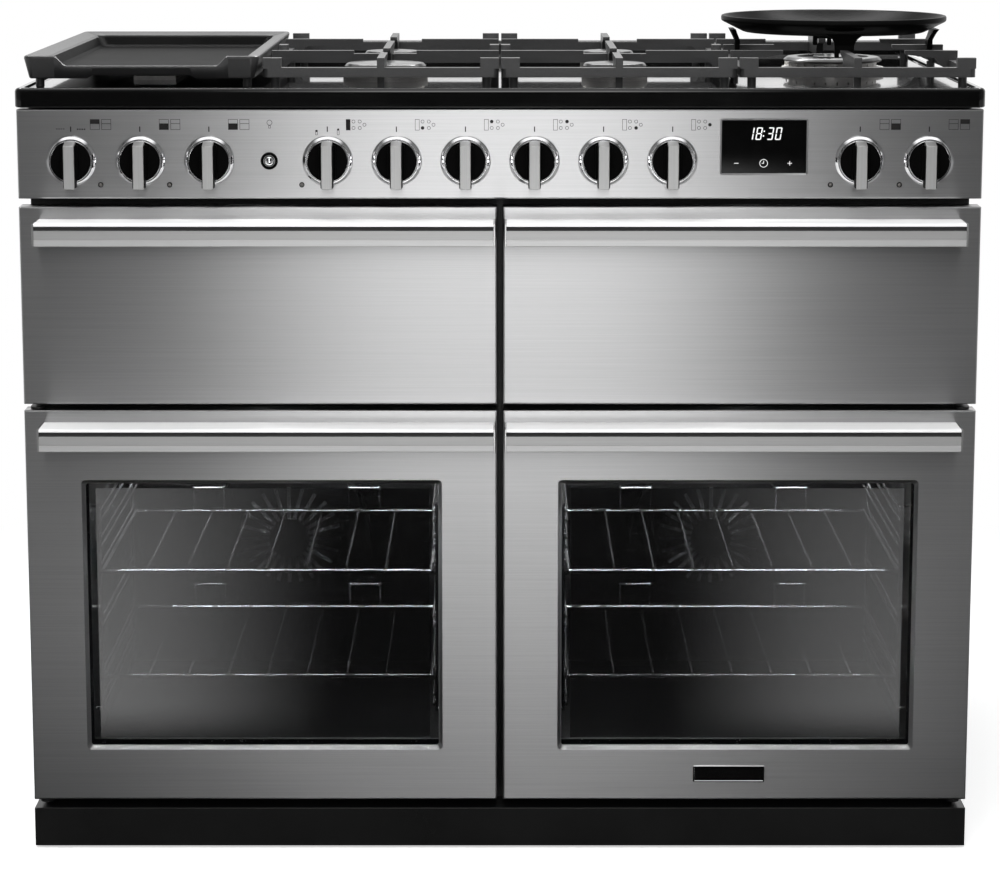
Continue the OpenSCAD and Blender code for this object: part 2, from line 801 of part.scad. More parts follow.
// Pipe from a tap back to a burner's setback and then across to the burner's side
module feed_pipe(x, bx, by, br) {
    y0 = y_front + 22;
    reach = bx > x ? bx - br - x : x - bx - br;
    bar_z(feed_r, [x, y0, z_knob], z_pipe - z_knob);
    translate([x, y0, z_pipe]) sphere(r = feed_r + elbow);
    bar_y(feed_r, [x, y0, z_pipe], by + y_front - y0);
    translate([x, by + y_front, z_pipe]) sphere(r = feed_r + elbow);
    bar_x(feed_r, [bx > x ? x : bx + br, by + y_front, z_pipe], reach);
}

module taps_and_switches() {
    y0 = y_front + sheet_t;
    color("gold") {
        difference() {
            union() {
                bar_x(gas_r, [knob_xs[3] - 15, y0 + 20, z_rail], supply_x - knob_xs[3] + 15);
                translate([supply_x, y0 + 20, z_rail]) sphere(r = gas_r + elbow);
                bar_y(gas_r, [supply_x, y0 + 20, z_rail], y_case + 16 - y0 - 20);
                for (i = [3:8]) bar_y(11, [knob_xs[i], y0, z_knob], 28);
                feed_pipe(knob_xs[3], griddle_x, wok_back, 12);
                feed_pipe(knob_xs[4], burners[0][0], burners[0][1], cup_share * burners[0][2]);
                feed_pipe(knob_xs[5], burners[1][0], burners[1][1], cup_share * burners[1][2]);
                feed_pipe(knob_xs[6], burners[3][0], burners[3][1], cup_share * burners[3][2]);
                feed_pipe(knob_xs[7], burners[2][0], burners[2][1], cup_share * burners[2][2]);
                feed_pipe(knob_xs[8], wok_x, wok_back, cup_share * burner_wok);
            }
            bar_y(gas_bore, [supply_x, y_case - 24, z_rail], 60);
        }
        for (i = [0, 1, 2, 9, 10]) translate([knob_xs[i], 0, z_knob])
            box(-18, 18, y0, y0 + 32, -20, 20);
        translate([-button_x, 0, z_knob]) difference() {
            box(-12, 12, y0, y0 + 26, -12, 12);
            bar_y(button_r + 0.5, [0, y0 - 1, 0], 6);
            bar_y(2 + fit, [0, y0 - 1, 0], 20);
        }
        for (x = knob_xs) bar_y(spindle_r, [x, y_front - 9, z_knob], 10 + sheet_t);
    }
}

module hob_top() {
    color("black") difference() {
        union() {
            translate([0, (y_front + y_back) / 2, z_case]) linear_extrude(hob_h)
                round_rect(cooker_w, cooker_d, 5);
            box(-cooker_w / 2 + 5, cooker_w / 2 - 5, y_back - upstand_d, y_back,
                z_hob - 1, z_hob + upstand_h);
        }
        box(-cooker_w / 2 + 2, cooker_w / 2 - 2, y_front + 2, y_back - 2, z_case + 2, z_deck - 2.5);
        box(-cooker_w / 2 + 22, cooker_w / 2 - 22, y_front + door_t + 8, y_case - 8,
            z_case - 1, z_case + 3);
        translate([0, (y_front + y_back - upstand_d) / 2, z_deck]) linear_extrude(hob_recess + 1)
            round_rect(cooker_w - 16, cooker_d - upstand_d - 12, 12);
        for (b = burners) bar_z(0.5 * b[2] + 1, [b[0], y_front + b[1], z_case], hob_h);
        bar_z(0.5 * burner_wok + 1, [wok_x, y_front + wok_back, z_case], hob_h);
        translate([griddle_x, y_front + wok_back, z_case]) cylinder(r = 15, h = hob_h);
    }
}

// A round burner: its cup and neck below the deck and its slotted head above
module burner(r) {
    difference() {
        union() {
            cylinder(r = r, h = 7);
            translate([0, 0, 6]) cylinder(r = 0.86 * r, h = 8);
            translate([0, 0, z_pipe - z_deck - 6]) cylinder(r = cup_share * r,
                h = z_deck - z_pipe + 7);
        }
        for (a = [0:15:345]) rotate([0, 0, a])
            translate([0.7 * r, -1, 9]) cube([r, 2, 3]);
    }
}

module burner_bodies() {
    color("silver") {
        for (b = burners) translate([b[0], y_front + b[1], z_deck]) burner(b[2]);
        translate([wok_x, y_front + wok_back, z_deck]) burner(burner_wok);
        translate([griddle_x, y_front + wok_back, z_deck]) {
            translate([-25, -130, 0]) cube([50, 260, 5]);
            translate([0, 0, z_pipe - z_deck - 6]) cylinder(r = 12, h = z_deck - z_pipe + 7);
        }
    }
}

module burner_cap(r) {
    rotate_extrude() polygon([[0, 14], [0.94 * r, 14], [0.97 * r, 16], [0.9 * r, 19.5],
        [0.4 * r, 20.5], [0, 20.5]]);
}

module burner_caps() {
    color("dimgray") {
        for (b = burners) translate([b[0], y_front + b[1], z_deck]) burner_cap(b[2]);
        translate([wok_x, y_front + wok_back, z_deck]) difference() {
            burner_cap(burner_wok);
            difference() {
                translate([0, 0, 17]) cylinder(r = 0.7 * burner_wok, h = 5);
                translate([0, 0, 16]) cylinder(r = 0.38 * burner_wok, h = 7);
            }
        }
        translate([griddle_x - 23, y_front + wok_back - 128, z_deck + 5]) cube([46, 256, 2.5]);
    }
}

// Side finger of a pan support, from its root at x = 0 to its tip at x = l
module finger(l, t) {
    translate([0, t / 2, 0]) rotate([90, 0, 0]) linear_extrude(t)
        polygon([[0, 0], [bar_w + 3, 0], [bar_w + 16, rise - 9], [l - 2, rise - 5],
            [l, rise - 3.5], [l, rise], [0, rise]]);
}

// Centre bar of a pan support over a length l, with its underside raised at an end over a burner
module rest(l, t, raised_start, raised_end) {
    start = raised_start ? [[tip_cut + 8, 0], [tip_cut, rise - 8], [0, rise - 4], [0, rise]]
        : [[0, 0], [0, rise]];
    end = raised_end ? [[l, rise], [l, rise - 4], [l - tip_cut, rise - 8], [l - tip_cut - 8, 0]]
        : [[l, rise], [l, 0]];
    translate([-t / 2, 0, 0]) rotate([90, 0, 90]) linear_extrude(t) polygon(concat(start, end));
}

module pan_support(cx, wok) {
    w = support_w;
    d = support_d;
    t = bar_w;
    near = burner_front - support_front;
    far = burner_rear - support_front;
    mid = (near + far) / 2;
    rest_l = wok ? mid - wok_leg_r + leg_seat : near - tip_gap;
    translate([cx, y_front + support_front, z_bar]) {
        difference() {
            translate([0, d / 2, 0]) linear_extrude(bar_h) round_rect(w, d, 6);
            translate([0, d / 2, -1]) linear_extrude(bar_h + 2) round_rect(w - 2 * t, d - 2 * t, 16);
        }
        for (sx = [-1, 1]) mirror([sx > 0 ? 1 : 0, 0, 0]) {
            for (y = [0, d - t])
                translate([-w / 2, y, bar_h - 1]) cube([lug_l, t, finger_up + 1]);
            for (y = wok ? [near, mid, far] : [near, far])
                translate([-w / 2, y, 0]) finger(wok ? wok_finger : w / 2 - tip_gap, finger_t);
            if (!wok)
                translate([-w / 2, mid - lug_l / 2, bar_h - 1]) cube([t, lug_l, finger_up + 1]);
            for (y = [8, mid, d - 8])
                translate([-w / 2 + 14, y, -leg_h]) cylinder(r = 5, h = leg_h + 2);
        }
        rest(rest_l, rest_t, false, true);
        translate([0, wok ? mid + wok_leg_r - leg_seat : far + tip_gap, 0])
            rest(wok ? d - mid - wok_leg_r + leg_seat : d - far - tip_gap, rest_t, true, false);
        if (!wok) {
            translate([0, near + tip_gap, 0]) rest(far - near - 2 * tip_gap, rest_t, true, true);
            translate([-w / 2 + t / 2, mid - t / 2, 0]) cube([w - t, t, bar_h]);
        }
        for (y = [4, d - 9]) translate([-4, y, -leg_h]) cube([8, 5, leg_h + 1]);
    }
}

module pan_support_left() { color("dimgray") pan_support(left_burner_x, false); }
module pan_support_centre() { color("dimgray") pan_support(-left_burner_x, false); }
module pan_support_right() { color("dimgray") pan_support(wok_x, true); }

module wok_ring() {
    foot = 14;
    color("dimgray") translate([wok_x, y_front + wok_back, z_finger]) {
        rotate_extrude($fn = 96) polygon([[wok_r - 34, foot + 2], [wok_r - 28, foot + 2],
            [wok_r, wok_h - 6], [wok_r, wok_h], [wok_r - 5, wok_h], [wok_r - 9, wok_h - 5]]);
        for (a = [0:90:270]) rotate([0, 0, a]) difference() {
            translate([wok_leg_r - 7, -14, -leg_grip]) cube([14, 28, leg_grip + foot + 6]);
            translate([wok_leg_r - 8, -finger_t / 2 - 1.5, -leg_grip - 1])
                cube([16, finger_t + 3, leg_grip + 1 + clear]);
        }
    }
}

module griddle_plate() {
    w = griddle_w;
    d = griddle_d;
    h = griddle_h;
    color("dimgray") translate([griddle_x, y_front + griddle_front, z_deck + griddle_foot])
        difference() {
            union() {
                translate([0, d / 2, 0]) linear_extrude(h) round_rect(w, d, 10);
                for (sx = [-1, 1], y = [24, d - 24])
                    translate([sx * (w / 2 - 16), y, -griddle_foot])
                        cylinder(r = 5, h = griddle_foot + 2);
            }
            translate([0, d / 2, 7]) linear_extrude(h) round_rect(w - 24, d - 30, 8);
            translate([-90, -1, h - 14]) cube([180, 30, 20]);
            translate([-62, -1, -1]) cube([124, d / 2, 4]);
        }
}

module shelf_wire() {
    w = oven_w - 2 * (rack_in + 1.8);
    n = floor((w - 20) / shelf_pitch);
    y1 = shelf_d;
    for (sx = [-1, 1]) bar_y(shelf_r, [sx * w / 2, -shelf_r, 0], y1 + 2 * shelf_r);
    for (y = [0, y1]) bar_x(shelf_r - 0.2, [-w / 2, y, 0], w);
    for (i = [0:n - 1]) {
        x = (i - (n - 1) / 2) * shelf_pitch;
        bar_y(wire_r, [x, -2, shelf_r + 0.5], y1 + 4);
    }
    for (sx = [-1, 1]) translate([sx * 2.135 * shelf_pitch, y1, 0]) {
        half = 0.415 * shelf_pitch;
        for (x = [-half, half]) bar_z(wire_r, [x, 0, 0], stop_h + wire_r);
        bar_x(wire_r - 0.1, [-half, 0, stop_h], 2 * half);
    }
}

module oven_shelves() {
    drop = rack_gap - rack_r - clear - shelf_r;
    color("silver") for (s = [-1, 1], n = shelf_levels)
        translate([s * bay_x, y_inside + shelf_front, z_oven + n * rack_step + rack_low - drop])
            shelf_wire();
}

module shelf_racks() {
    l = oven_d - cover_d - 30;
    top = z_oven + rack_levels[len(rack_levels) - 1] * rack_step + rack_low + 12;
    low = z_oven + rack_low + 14;
    color("silver") for (s = [-1, 1], m = [-1, 1]) translate([s * bay_x, y_inside, 0])
        on_side(m) translate([-oven_w / 2, 0, 0]) {
            for (n = rack_levels, g = [-rack_gap, rack_gap])
                bar_y(rack_r, [rack_in, 14, z_oven + n * rack_step + rack_low + g], l);
            for (y = [30, 14 + l - 16]) {
                bar_z(post_r, [post_in + 0.6, y, low], top - low);
                for (z = [low + 3, top - 3]) bar_x(post_r, [clear, y, z], post_in);
            }
        }
}

module fan_cover() {
    difference() {
        cylinder(r = cover_r, h = cover_d);
        translate([0, 0, -1]) cylinder(r = cover_r - sheet_t, h = cover_d - sheet_t + 1);
        for (a = [0:15:345]) rotate([0, 0, a])
            translate([26, -2.5, cover_d - sheet_t - 1]) cube([42, 5, sheet_t + 2]);
        for (a = [0:15:345]) rotate([0, 0, a])
            translate([cover_r - 4, -4, 8]) cube([8, 8, cover_d - 18]);
    }
}

module fan_covers() {
    color("gray") for (s = [-1, 1]) translate([s * bay_x, y_oven_back, fan_z])
        rotate([90, 0, 0]) fan_cover();
}

module fan_wheel(s) {
    color("silver") translate([s * bay_x, y_oven_back - 4, fan_z]) rotate([90, 0, 0]) difference() {
        union() {
            cylinder(r = fan_r, h = sheet_t);
            cylinder(r = shaft_r + 6, h = 16);
            for (a = [0:36:324]) rotate([0, 0, a])
                translate([fan_r * 0.45, -0.75, 1]) cube([fan_r * 0.53, 1.5, 16]);
        }
        translate([0, 0, -1]) cylinder(r = shaft_r + fit, h = 20);
    }
}

module left_fan() { fan_wheel(-1); }
module right_fan() { fan_wheel(1); }

module fan_motors() {
    color("silver") for (s = [-1, 1]) {
        bar_y(motor_r, [s * bay_x, y_oven_back + sheet_t, fan_z], motor_l);
        bar_y(shaft_r, [s * bay_x, y_oven_back - 18, fan_z], 22 + sheet_t);
        translate([s * bay_x, 0, fan_z])
            box(-55, 55, y_oven_back + sheet_t, y_oven_back + sheet_t + 3, -8, 8);
    }
}

module heating_elements() {
    ring_r = (fan_r + cover_r) / 2;
    z = z_grill + grill_h;
    n = 6;
    pitch = 56;
    color("dimgray") {
        for (s = [-1, 1]) translate([s * bay_x, y_oven_back, fan_z]) {
            rotate([90, 0, 0]) translate([0, 0, 14])
                rotate_extrude() translate([ring_r, 0]) circle(r = 3.2, $fn = 24);
            for (x = [-12, 12]) bar_y(2.6, [x, -14, -sqrt(ring_r * ring_r - 144)], 14);
        }
        for (i = [0:n - 1]) {
            x = -bay_x + (i - (n - 1) / 2) * pitch;
            bar_y(4, [x, y_inside + 36, z - 16], element_l);
            for (y = [y_inside + 60, y_inside + element_l + 12])
                box(x - 2, x + 2, y, y + 4, z - 15, z);
            if (i < n - 1) {
                y = y_inside + 40 + (i % 2) * (element_l - 8);
                bar_x(3.9, [x, y, z - 16], pitch);
            }
        }
    }
}

side_panels();
back_panel();
chassis_base();
front_frame();
plinth();
levelling_feet();
left_oven_liner();
right_oven_liner();
grill_chamber();
drawer_housing();
control_panel();
clock();
knob_bezels();
indicator_lenses();
taps_and_switches();
hob_top();
burner_bodies();
burner_caps();
oven_shelves();
shelf_racks();
fan_covers();
fan_motors();
heating_elements();
door_seals();
grill_pan();
left_door_panel();
left_door_glass();
left_door_inner();
left_door_handle();
right_door_panel();
right_door_glass();
right_door_inner();
right_door_handle();
grill_door_panel();
grill_door_inner();
grill_door_handle();
drawer_front();
drawer_box();
drawer_handle();
drawer_mid_rails();
griddle_plate();
pan_support_left();
pan_support_centre();
pan_support_right();
wok_ring();
left_fan();
right_fan();
rear_rollers();
knob_1();
knob_2();
knob_3();
knob_4();
knob_5();
knob_6();
knob_7();
knob_8();
knob_9();
knob_10();
knob_11();
light_button();
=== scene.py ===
"""Range cooker: finishes, detailed pieces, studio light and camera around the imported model.

Every length is in metres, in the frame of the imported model: X to the right, Y to the back and Z up.
"""

import logging
import math
from dataclasses import dataclass
from enum import Enum

import bmesh
import bpy
from bmesh.types import BMEdge, BMesh, BMFace, BMVert
from bpy.types import Material, Node, NodeSocket, NodeTree, Object
from mathutils import Matrix, Vector

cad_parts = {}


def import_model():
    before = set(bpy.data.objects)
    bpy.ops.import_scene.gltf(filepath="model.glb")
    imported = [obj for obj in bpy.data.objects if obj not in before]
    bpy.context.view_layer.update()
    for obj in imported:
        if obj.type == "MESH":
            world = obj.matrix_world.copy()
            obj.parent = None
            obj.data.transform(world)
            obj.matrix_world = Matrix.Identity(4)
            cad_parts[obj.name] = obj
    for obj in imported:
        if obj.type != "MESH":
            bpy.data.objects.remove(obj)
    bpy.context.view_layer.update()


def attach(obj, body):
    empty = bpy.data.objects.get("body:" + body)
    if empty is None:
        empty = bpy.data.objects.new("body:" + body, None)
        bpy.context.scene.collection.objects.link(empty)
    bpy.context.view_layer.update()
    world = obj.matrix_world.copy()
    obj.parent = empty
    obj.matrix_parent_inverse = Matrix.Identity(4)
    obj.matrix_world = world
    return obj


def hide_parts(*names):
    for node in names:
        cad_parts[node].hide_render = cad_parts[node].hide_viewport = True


LOG = logging.getLogger("range_cooker")
WHITE = (1.0, 1.0, 1.0)


# Layout of the cooker's front and hob


@dataclass(frozen=True)
class Layout:
    """Places that several sub-assemblies share."""

    y_front: float = -0.2825
    z_door: float = 0.059
    z_upper: float = 0.529
    z_fascia: float = 0.765
    z_fascia_top: float = 0.866
    z_case: float = 0.868
    z_deck: float = 0.887
    z_hob: float = 0.890
    z_knob: float = 0.808
    half_front: float = 0.544
    half_hob: float = 0.546
    y_back: float = 0.3255
    door_w: float = 0.5407
    oven_door_h: float = 0.463
    upper_h: float = 0.227
    bay_x: float = 0.27365

    def knob_xs(self) -> list[float]:
        """Centres of the eleven knobs from left to right."""
        pitch, far = 0.0777, 0.4829
        left = [-far + i * pitch for i in range(3)]
        middle = [(i - 2.5) * pitch for i in range(6)]
        return left + middle + [far - pitch, far]


PLAN = Layout()


class Side(Enum):
    """The two halves of the front."""

    LEFT = -1
    RIGHT = 1

    @property
    def word(self) -> str:
        """The side's name in lower case."""
        return self.name.lower()


class Grain(Enum):
    """Direction of the brushing, as the scale of its noise along each axis."""

    ALONG_X = (5.0, 900.0, 900.0)
    ALONG_Y = (900.0, 5.0, 900.0)
    ALONG_Z = (900.0, 900.0, 5.0)


# Shader maths


class Signal:
    """A number socket of a shader that takes part in Python arithmetic."""

    def __init__(self, tree: NodeTree, socket: NodeSocket) -> None:
        """Wraps a socket of a tree."""
        self.tree = tree
        self.socket = socket

    def apply(self, operation: str, *terms: "Signal | float") -> "Signal":
        """Adds one Math node.

        Args:
            operation: The node's operation.
            terms: Its inputs, in order.

        Returns:
            The node's result.
        """
        node = self.tree.nodes.new("ShaderNodeMath")
        node.operation = operation
        for slot, term in zip(node.inputs, terms):
            if isinstance(term, Signal):
                self.tree.links.new(term.socket, slot)
            else:
                slot.default_value = term
        return Signal(self.tree, node.outputs[0])

    def __add__(self, other: "Signal | float") -> "Signal":
        """Sum."""
        return self.apply("ADD", self, other)

    def __sub__(self, other: "Signal | float") -> "Signal":
        """Difference."""
        return self.apply("SUBTRACT", self, other)

    def __rsub__(self, other: float) -> "Signal":
        """Difference from a number."""
        return self.apply("SUBTRACT", other, self)

    def __mul__(self, other: "Signal | float") -> "Signal":
        """Product."""
        return self.apply("MULTIPLY", self, other)

    def __pow__(self, other: float) -> "Signal":
        """Power."""
        return self.apply("POWER", self, other)

    __radd__ = __add__
    __rmul__ = __mul__

    def above(self, limit: float) -> "Signal":
        """1 where the value passes the limit."""
        return self.apply("GREATER_THAN", self, limit)

    def size(self) -> "Signal":
        """Absolute value."""
        return self.apply("ABSOLUTE", self)

    def least(self, other: "Signal | float") -> "Signal":
        """The smaller of two values."""
        return self.apply("MINIMUM", self, other)

    def ramp(self, start: float, end: float) -> "Signal":
        """Smooth step from 0 at start to 1 at end, which may be the smaller."""
        node = self.tree.nodes.new("ShaderNodeMapRange")
        node.interpolation_type = "SMOOTHSTEP"
        flip = start > end
        self.tree.links.new(self.socket, node.inputs["Value"])
        node.inputs["From Min"].default_value = min(start, end)
        node.inputs["From Max"].default_value = max(start, end)
        node.inputs["To Min"].default_value = 1.0 if flip else 0.0
        node.inputs["To Max"].default_value = 0.0 if flip else 1.0
        return Signal(self.tree, node.outputs["Result"])


class Shader:
    """A node tree under construction, with the calls that every finish uses."""

    def __init__(self, tree: NodeTree) -> None:
        """Empties the tree."""
        self.tree = tree
        tree.nodes.clear()

    def add(self, kind: str, settings: dict | None = None, **values: object) -> Node:
        """Adds a node.

        Args:
            kind: The node's type without its ShaderNode prefix.
            settings: Its properties.
            values: Numbers, colours or links for its sockets, with _ for a space.

        Returns:
            The node.
        """
        node = self.tree.nodes.new("ShaderNode" + kind)
        for key, value in (settings or {}).items():
            setattr(node, key, value)
        for key, value in values.items():
            self.feed(node.inputs[key.replace("_", " ")], value)
        return node

    def feed(self, slot: NodeSocket, value: object) -> None:
        """Sets or links one input."""
        if isinstance(value, Signal):
            self.tree.links.new(value.socket, slot)
        elif isinstance(value, NodeSocket):
            self.tree.links.new(value, slot)
        elif isinstance(value, tuple) and len(value) == 3 and slot.type == "RGBA":
            slot.default_value = (*value, 1.0)
        else:
            slot.default_value = value

    def place(self, scale: tuple = (1, 1, 1)) -> NodeSocket:
        """Object coordinates, scaled."""
        where = self.add("TexCoord").outputs["Object"]
        return self.add("Mapping", Vector=where, Scale=scale).outputs[0]

    def axes(self, space: str = "Object") -> tuple[Signal, Signal, Signal]:
        """The three object coordinates, or for a world the directions called Generated."""
        node = self.add("SeparateXYZ", Vector=self.add("TexCoord").outputs[space])
        return tuple(Signal(self.tree, out) for out in node.outputs)

    def noise(self, scale: tuple | float, detail: float = 3.0, rough: float = 0.55) -> Signal:
        """Noise on object coordinates, about 0.5 on average."""
        scale = scale if isinstance(scale, tuple) else (scale,) * 3
        node = self.add("TexNoise", Vector=self.place(scale), Scale=1.0, Detail=detail,
                        Roughness=rough)
        return Signal(self.tree, node.outputs[0])

    def cells(self, scale: float) -> Node:
        """Cells round scattered points, with a Distance and a Color."""
        return self.add("TexVoronoi", {"feature": "F1"}, Vector=self.place(), Scale=scale)

    def mix(self, factor: Signal, low: tuple, high: tuple) -> NodeSocket:
        """Mixes two colours."""
        node = self.add("Mix", {"data_type": "RGBA"})
        self.feed(node.inputs[0], factor)
        self.feed(node.inputs[6], low)
        self.feed(node.inputs[7], high)
        return node.outputs[2]

    def blend(self, factor: Signal, first: Node, second: Node) -> Node:
        """Mixes two shaders, all of the second at a factor of 1."""
        node = self.add("MixShader")
        self.feed(node.inputs[0], factor)
        self.feed(node.inputs[1], first.outputs[0])
        self.feed(node.inputs[2], second.outputs[0])
        return node

    def ray(self, quality: str) -> Signal:
        """What Light Path says of a ray."""
        return Signal(self.tree, self.add("LightPath").outputs[quality])

    def past_panes(self) -> Signal:
        """1 for a ray that has crossed a pane both ways, which is more faces than any lamp adds."""
        return self.ray("Transparent Depth").ramp(2.2, 2.8)


class Surface(Shader):
    """A material with one Principled shader."""

    def __init__(self, name: str, **constants: object) -> None:
        """Makes the material and sets what is the same all over it."""
        self.material = bpy.data.materials.new(name)
        self.material.use_nodes = True
        super().__init__(self.material.node_tree)
        self.body = self.add("BsdfPrincipled", **constants)
        self.end = self.add("OutputMaterial", Surface=self.body.outputs[0])

    def dress(self, **values: object) -> None:
        """Feeds the shader's varying inputs."""
        for key, value in values.items():
            self.feed(self.body.inputs[key.replace("_", " ")], value)

    def bump(self, height: Signal, strength: float, distance: float) -> None:
        """Feeds a height to the normal."""
        node = self.add("Bump", Height=height, Strength=strength, Distance=distance)
        self.dress(Normal=node.outputs[0])


# Finishes


def shade(colour: tuple, factor: float) -> tuple:
    """A colour made lighter or darker."""
    return tuple(min(1.0, c * factor) for c in colour)


@dataclass(frozen=True)
class Finish:
    """What every finish has: a name, a colour and a roughness."""

    name: str
    colour: tuple = (0.5, 0.5, 0.5)
    rough: float = 0.4

    def tones(self, s: Surface, factor: Signal, low: float, high: float) -> NodeSocket:
        """The colour, varied between a darker and a lighter shade of itself."""
        return s.mix(factor, shade(self.colour, low), shade(self.colour, high))

    def make(self) -> Material:
        """The finish as a material, made on its first use under a name that no node uses."""
        return bpy.data.materials.get(self.name) or self.build()

    def build(self) -> Material:
        """Builds the material."""
        raise NotImplementedError


@dataclass(frozen=True)
class BrushedSteel(Finish):
    """Stainless steel with fine brushing in one direction."""

    grain: Grain = Grain.ALONG_X
    spread: float = 0.8
    turn: float = 0.25
    depth: float = 0.05
    metal: float = 1.0

    def build(self) -> Material:
        """Long streaks vary the colour and the roughness, and fine lines give the bump."""
        s = Surface(self.name, Metallic=self.metal, Anisotropic=self.spread,
                    Anisotropic_Rotation=self.turn, IOR=2.2)
        streaks = s.noise(self.grain.value, 4.0, 0.65)
        fine = s.noise(tuple(2.2 * v for v in self.grain.value), 2.0)
        cloud = s.noise(3.0, 2.0)
        tone = streaks * 0.7 + cloud * 0.3
        s.dress(Base_Color=self.tones(s, tone.ramp(0.3, 0.7), 0.93, 1.06),
                Roughness=streaks * 0.10 + cloud * 0.05 + (self.rough - 0.075))
        s.bump(fine * 0.6 + streaks * 0.4, self.depth, 0.0002)
        return s.material


@dataclass(frozen=True)
class PolishedMetal(Finish):
    """Chrome, polished alloy, brass or plain sheet, with faint wear."""

    wear: float = 0.06

    def build(self) -> Material:
        """Soft clouds and small scratches vary the roughness."""
        s = Surface(self.name, Metallic=1.0, IOR=2.5)
        cloud = s.noise(14.0, 4.0)
        scratch = s.noise((220.0, 30.0, 220.0), 3.0, 0.7)
        s.dress(Base_Color=s.mix(cloud.ramp(0.3, 0.7), shade(self.colour, 0.92), self.colour),
                Roughness=cloud * self.wear + scratch.above(0.66) * 0.05 + self.rough)
        s.bump(scratch, 0.03, 0.0002)
        return s.material


@dataclass(frozen=True)
class CastSurface(Finish):
    """Matt cast or sintered surface: iron, burner alloy and other rough parts."""

    metal: float = 0.0
    grit: float = 900.0
    depth: float = 0.35
    shine: float = 0.5

    def build(self) -> Material:
        """Grains of two sizes in the bump, lighter where they stand proud."""
        s = Surface(self.name, Metallic=self.metal, IOR=1.5, Specular_IOR_Level=self.shine)
        grain = s.noise(self.grit, 3.0, 0.7)
        lumps = s.noise(self.grit / 6.0, 2.0)
        worn = s.noise(9.0, 4.0, 0.6)
        s.dress(Base_Color=self.tones(s, (grain * 0.6 + worn * 0.4).ramp(0.32, 0.68), 0.72, 1.3),
                Roughness=grain * 0.18 + worn * 0.10 + (self.rough - 0.14))
        s.bump(grain * 0.7 + lumps * 0.3, self.depth, 0.0005)
        return s.material


@dataclass(frozen=True)
class Enamel(Finish):
    """Glassy enamel, with an even or a speckled colour."""

    speck: tuple | None = None
    speck_scale: float = 420.0
    gloss: float = 1.0

    def build(self) -> Material:
        """Faint ripple in the coat, with dust and optional specks."""
        s = Surface(self.name, IOR=1.5, Coat_Roughness=0.02, Coat_IOR=1.4, Specular_IOR_Level=0.35)
        ripple = s.noise(70.0, 2.0)
        dust = s.noise(12.0, 5.0, 0.65)
        base = self.tones(s, dust.ramp(0.35, 0.75), 0.9, 1.25)
        if self.speck:
            far = s.cells(self.speck_scale).outputs["Distance"]
            dots = Signal(s.tree, far).ramp(0.26, 0.18)
            sparse = s.noise(self.speck_scale * 0.45, 1.0).ramp(0.55, 0.62)
            base = s.mix(dots * sparse, base, self.speck)
        s.dress(Base_Color=base, Roughness=dust * 0.08 + self.rough,
                Coat_Weight=dust * -0.12 + self.gloss)
        s.bump(ripple * 0.8 + dust * 0.2, 0.05, 0.001)
        return s.material


@dataclass(frozen=True)
class PaintedSheet(Finish):
    """Powder-coated or moulded surface with a fine even texture."""

    texture: float = 1400.0
    depth: float = 0.12
    shine: float = 0.35

    def build(self) -> Material:
        """Orange peel in the bump and faint marks of handling in the roughness."""
        s = Surface(self.name, IOR=1.48, Specular_IOR_Level=self.shine)
        peel = s.noise(self.texture, 2.0)
        marks = s.noise(7.0, 5.0, 0.62)
        s.dress(Base_Color=self.tones(s, marks.ramp(0.3, 0.72), 0.85, 1.15),
                Roughness=peel * 0.08 + marks * 0.10 + (self.rough - 0.09))
        s.bump(peel, self.depth, 0.0003)
        return s.material


@dataclass(frozen=True)
class ZincSheet(Finish):
    """Galvanised sheet with its crystal pattern."""

    def build(self) -> Material:
        """Cells of zinc differ in tone and roughness."""
        s = Surface(self.name, Metallic=1.0, IOR=2.0)
        split = s.add("SeparateColor", Color=s.cells(70.0).outputs["Color"])
        tone = Signal(s.tree, split.outputs[0])
        cloud = s.noise(6.0, 4.0)
        s.dress(Base_Color=self.tones(s, tone * 0.6 + cloud * 0.4, 0.8, 1.1),
                Roughness=tone * 0.16 + cloud * 0.08 + (self.rough - 0.1))
        s.bump(tone, 0.04, 0.0004)
        return s.material


@dataclass(frozen=True)
class BraidedFibre(Finish):
    """Glass-fibre rope of the door seals."""

    def build(self) -> Material:
        """Two sets of crossing bands form the braid."""
        s = Surface(self.name, IOR=1.45, Sheen_Weight=0.3, Sheen_Roughness=0.5)
        x, y, z = s.axes()
        along = (x + z) * 900.0
        across = (x - z) * 900.0 + y * 700.0
        weave = along.apply("SINE", along) * along.apply("SINE", across) * 0.5 + 0.5
        fuzz = s.noise(1500.0, 2.0)
        s.dress(Base_Color=self.tones(s, weave * 0.7 + fuzz * 0.3, 0.6, 1.4),
                Roughness=fuzz * 0.1 + self.rough)
        s.bump(weave * 0.8 + fuzz * 0.2, 0.5, 0.0006)
        return s.material


@dataclass(frozen=True)
class WindowGlass(Finish):
    """Window pane: a see-through part and a mirror-like part."""

    shown: float = 0.4
    tint: tuple = (0.75, 0.77, 0.78)
    index: float = 4.4

    def build(self) -> Material:
        """Mixes plain see-through with a black glossy pane that has faint smears."""
        s = Surface(self.name, IOR=self.index)
        smear = s.noise((3.0, 3.0, 1.2), 4.0, 0.6)
        s.dress(Base_Color=s.mix(smear.ramp(0.4, 0.8), self.colour, shade(self.colour, 2.0)),
                Roughness=smear * 0.03 + self.rough)
        clear = s.add("BsdfTransparent", Color=self.tint)
        both = s.blend(smear * 0.02 + (0.99 - self.shown), clear, s.body)
        s.feed(s.end.inputs["Surface"], both.outputs[0])
        return s.material


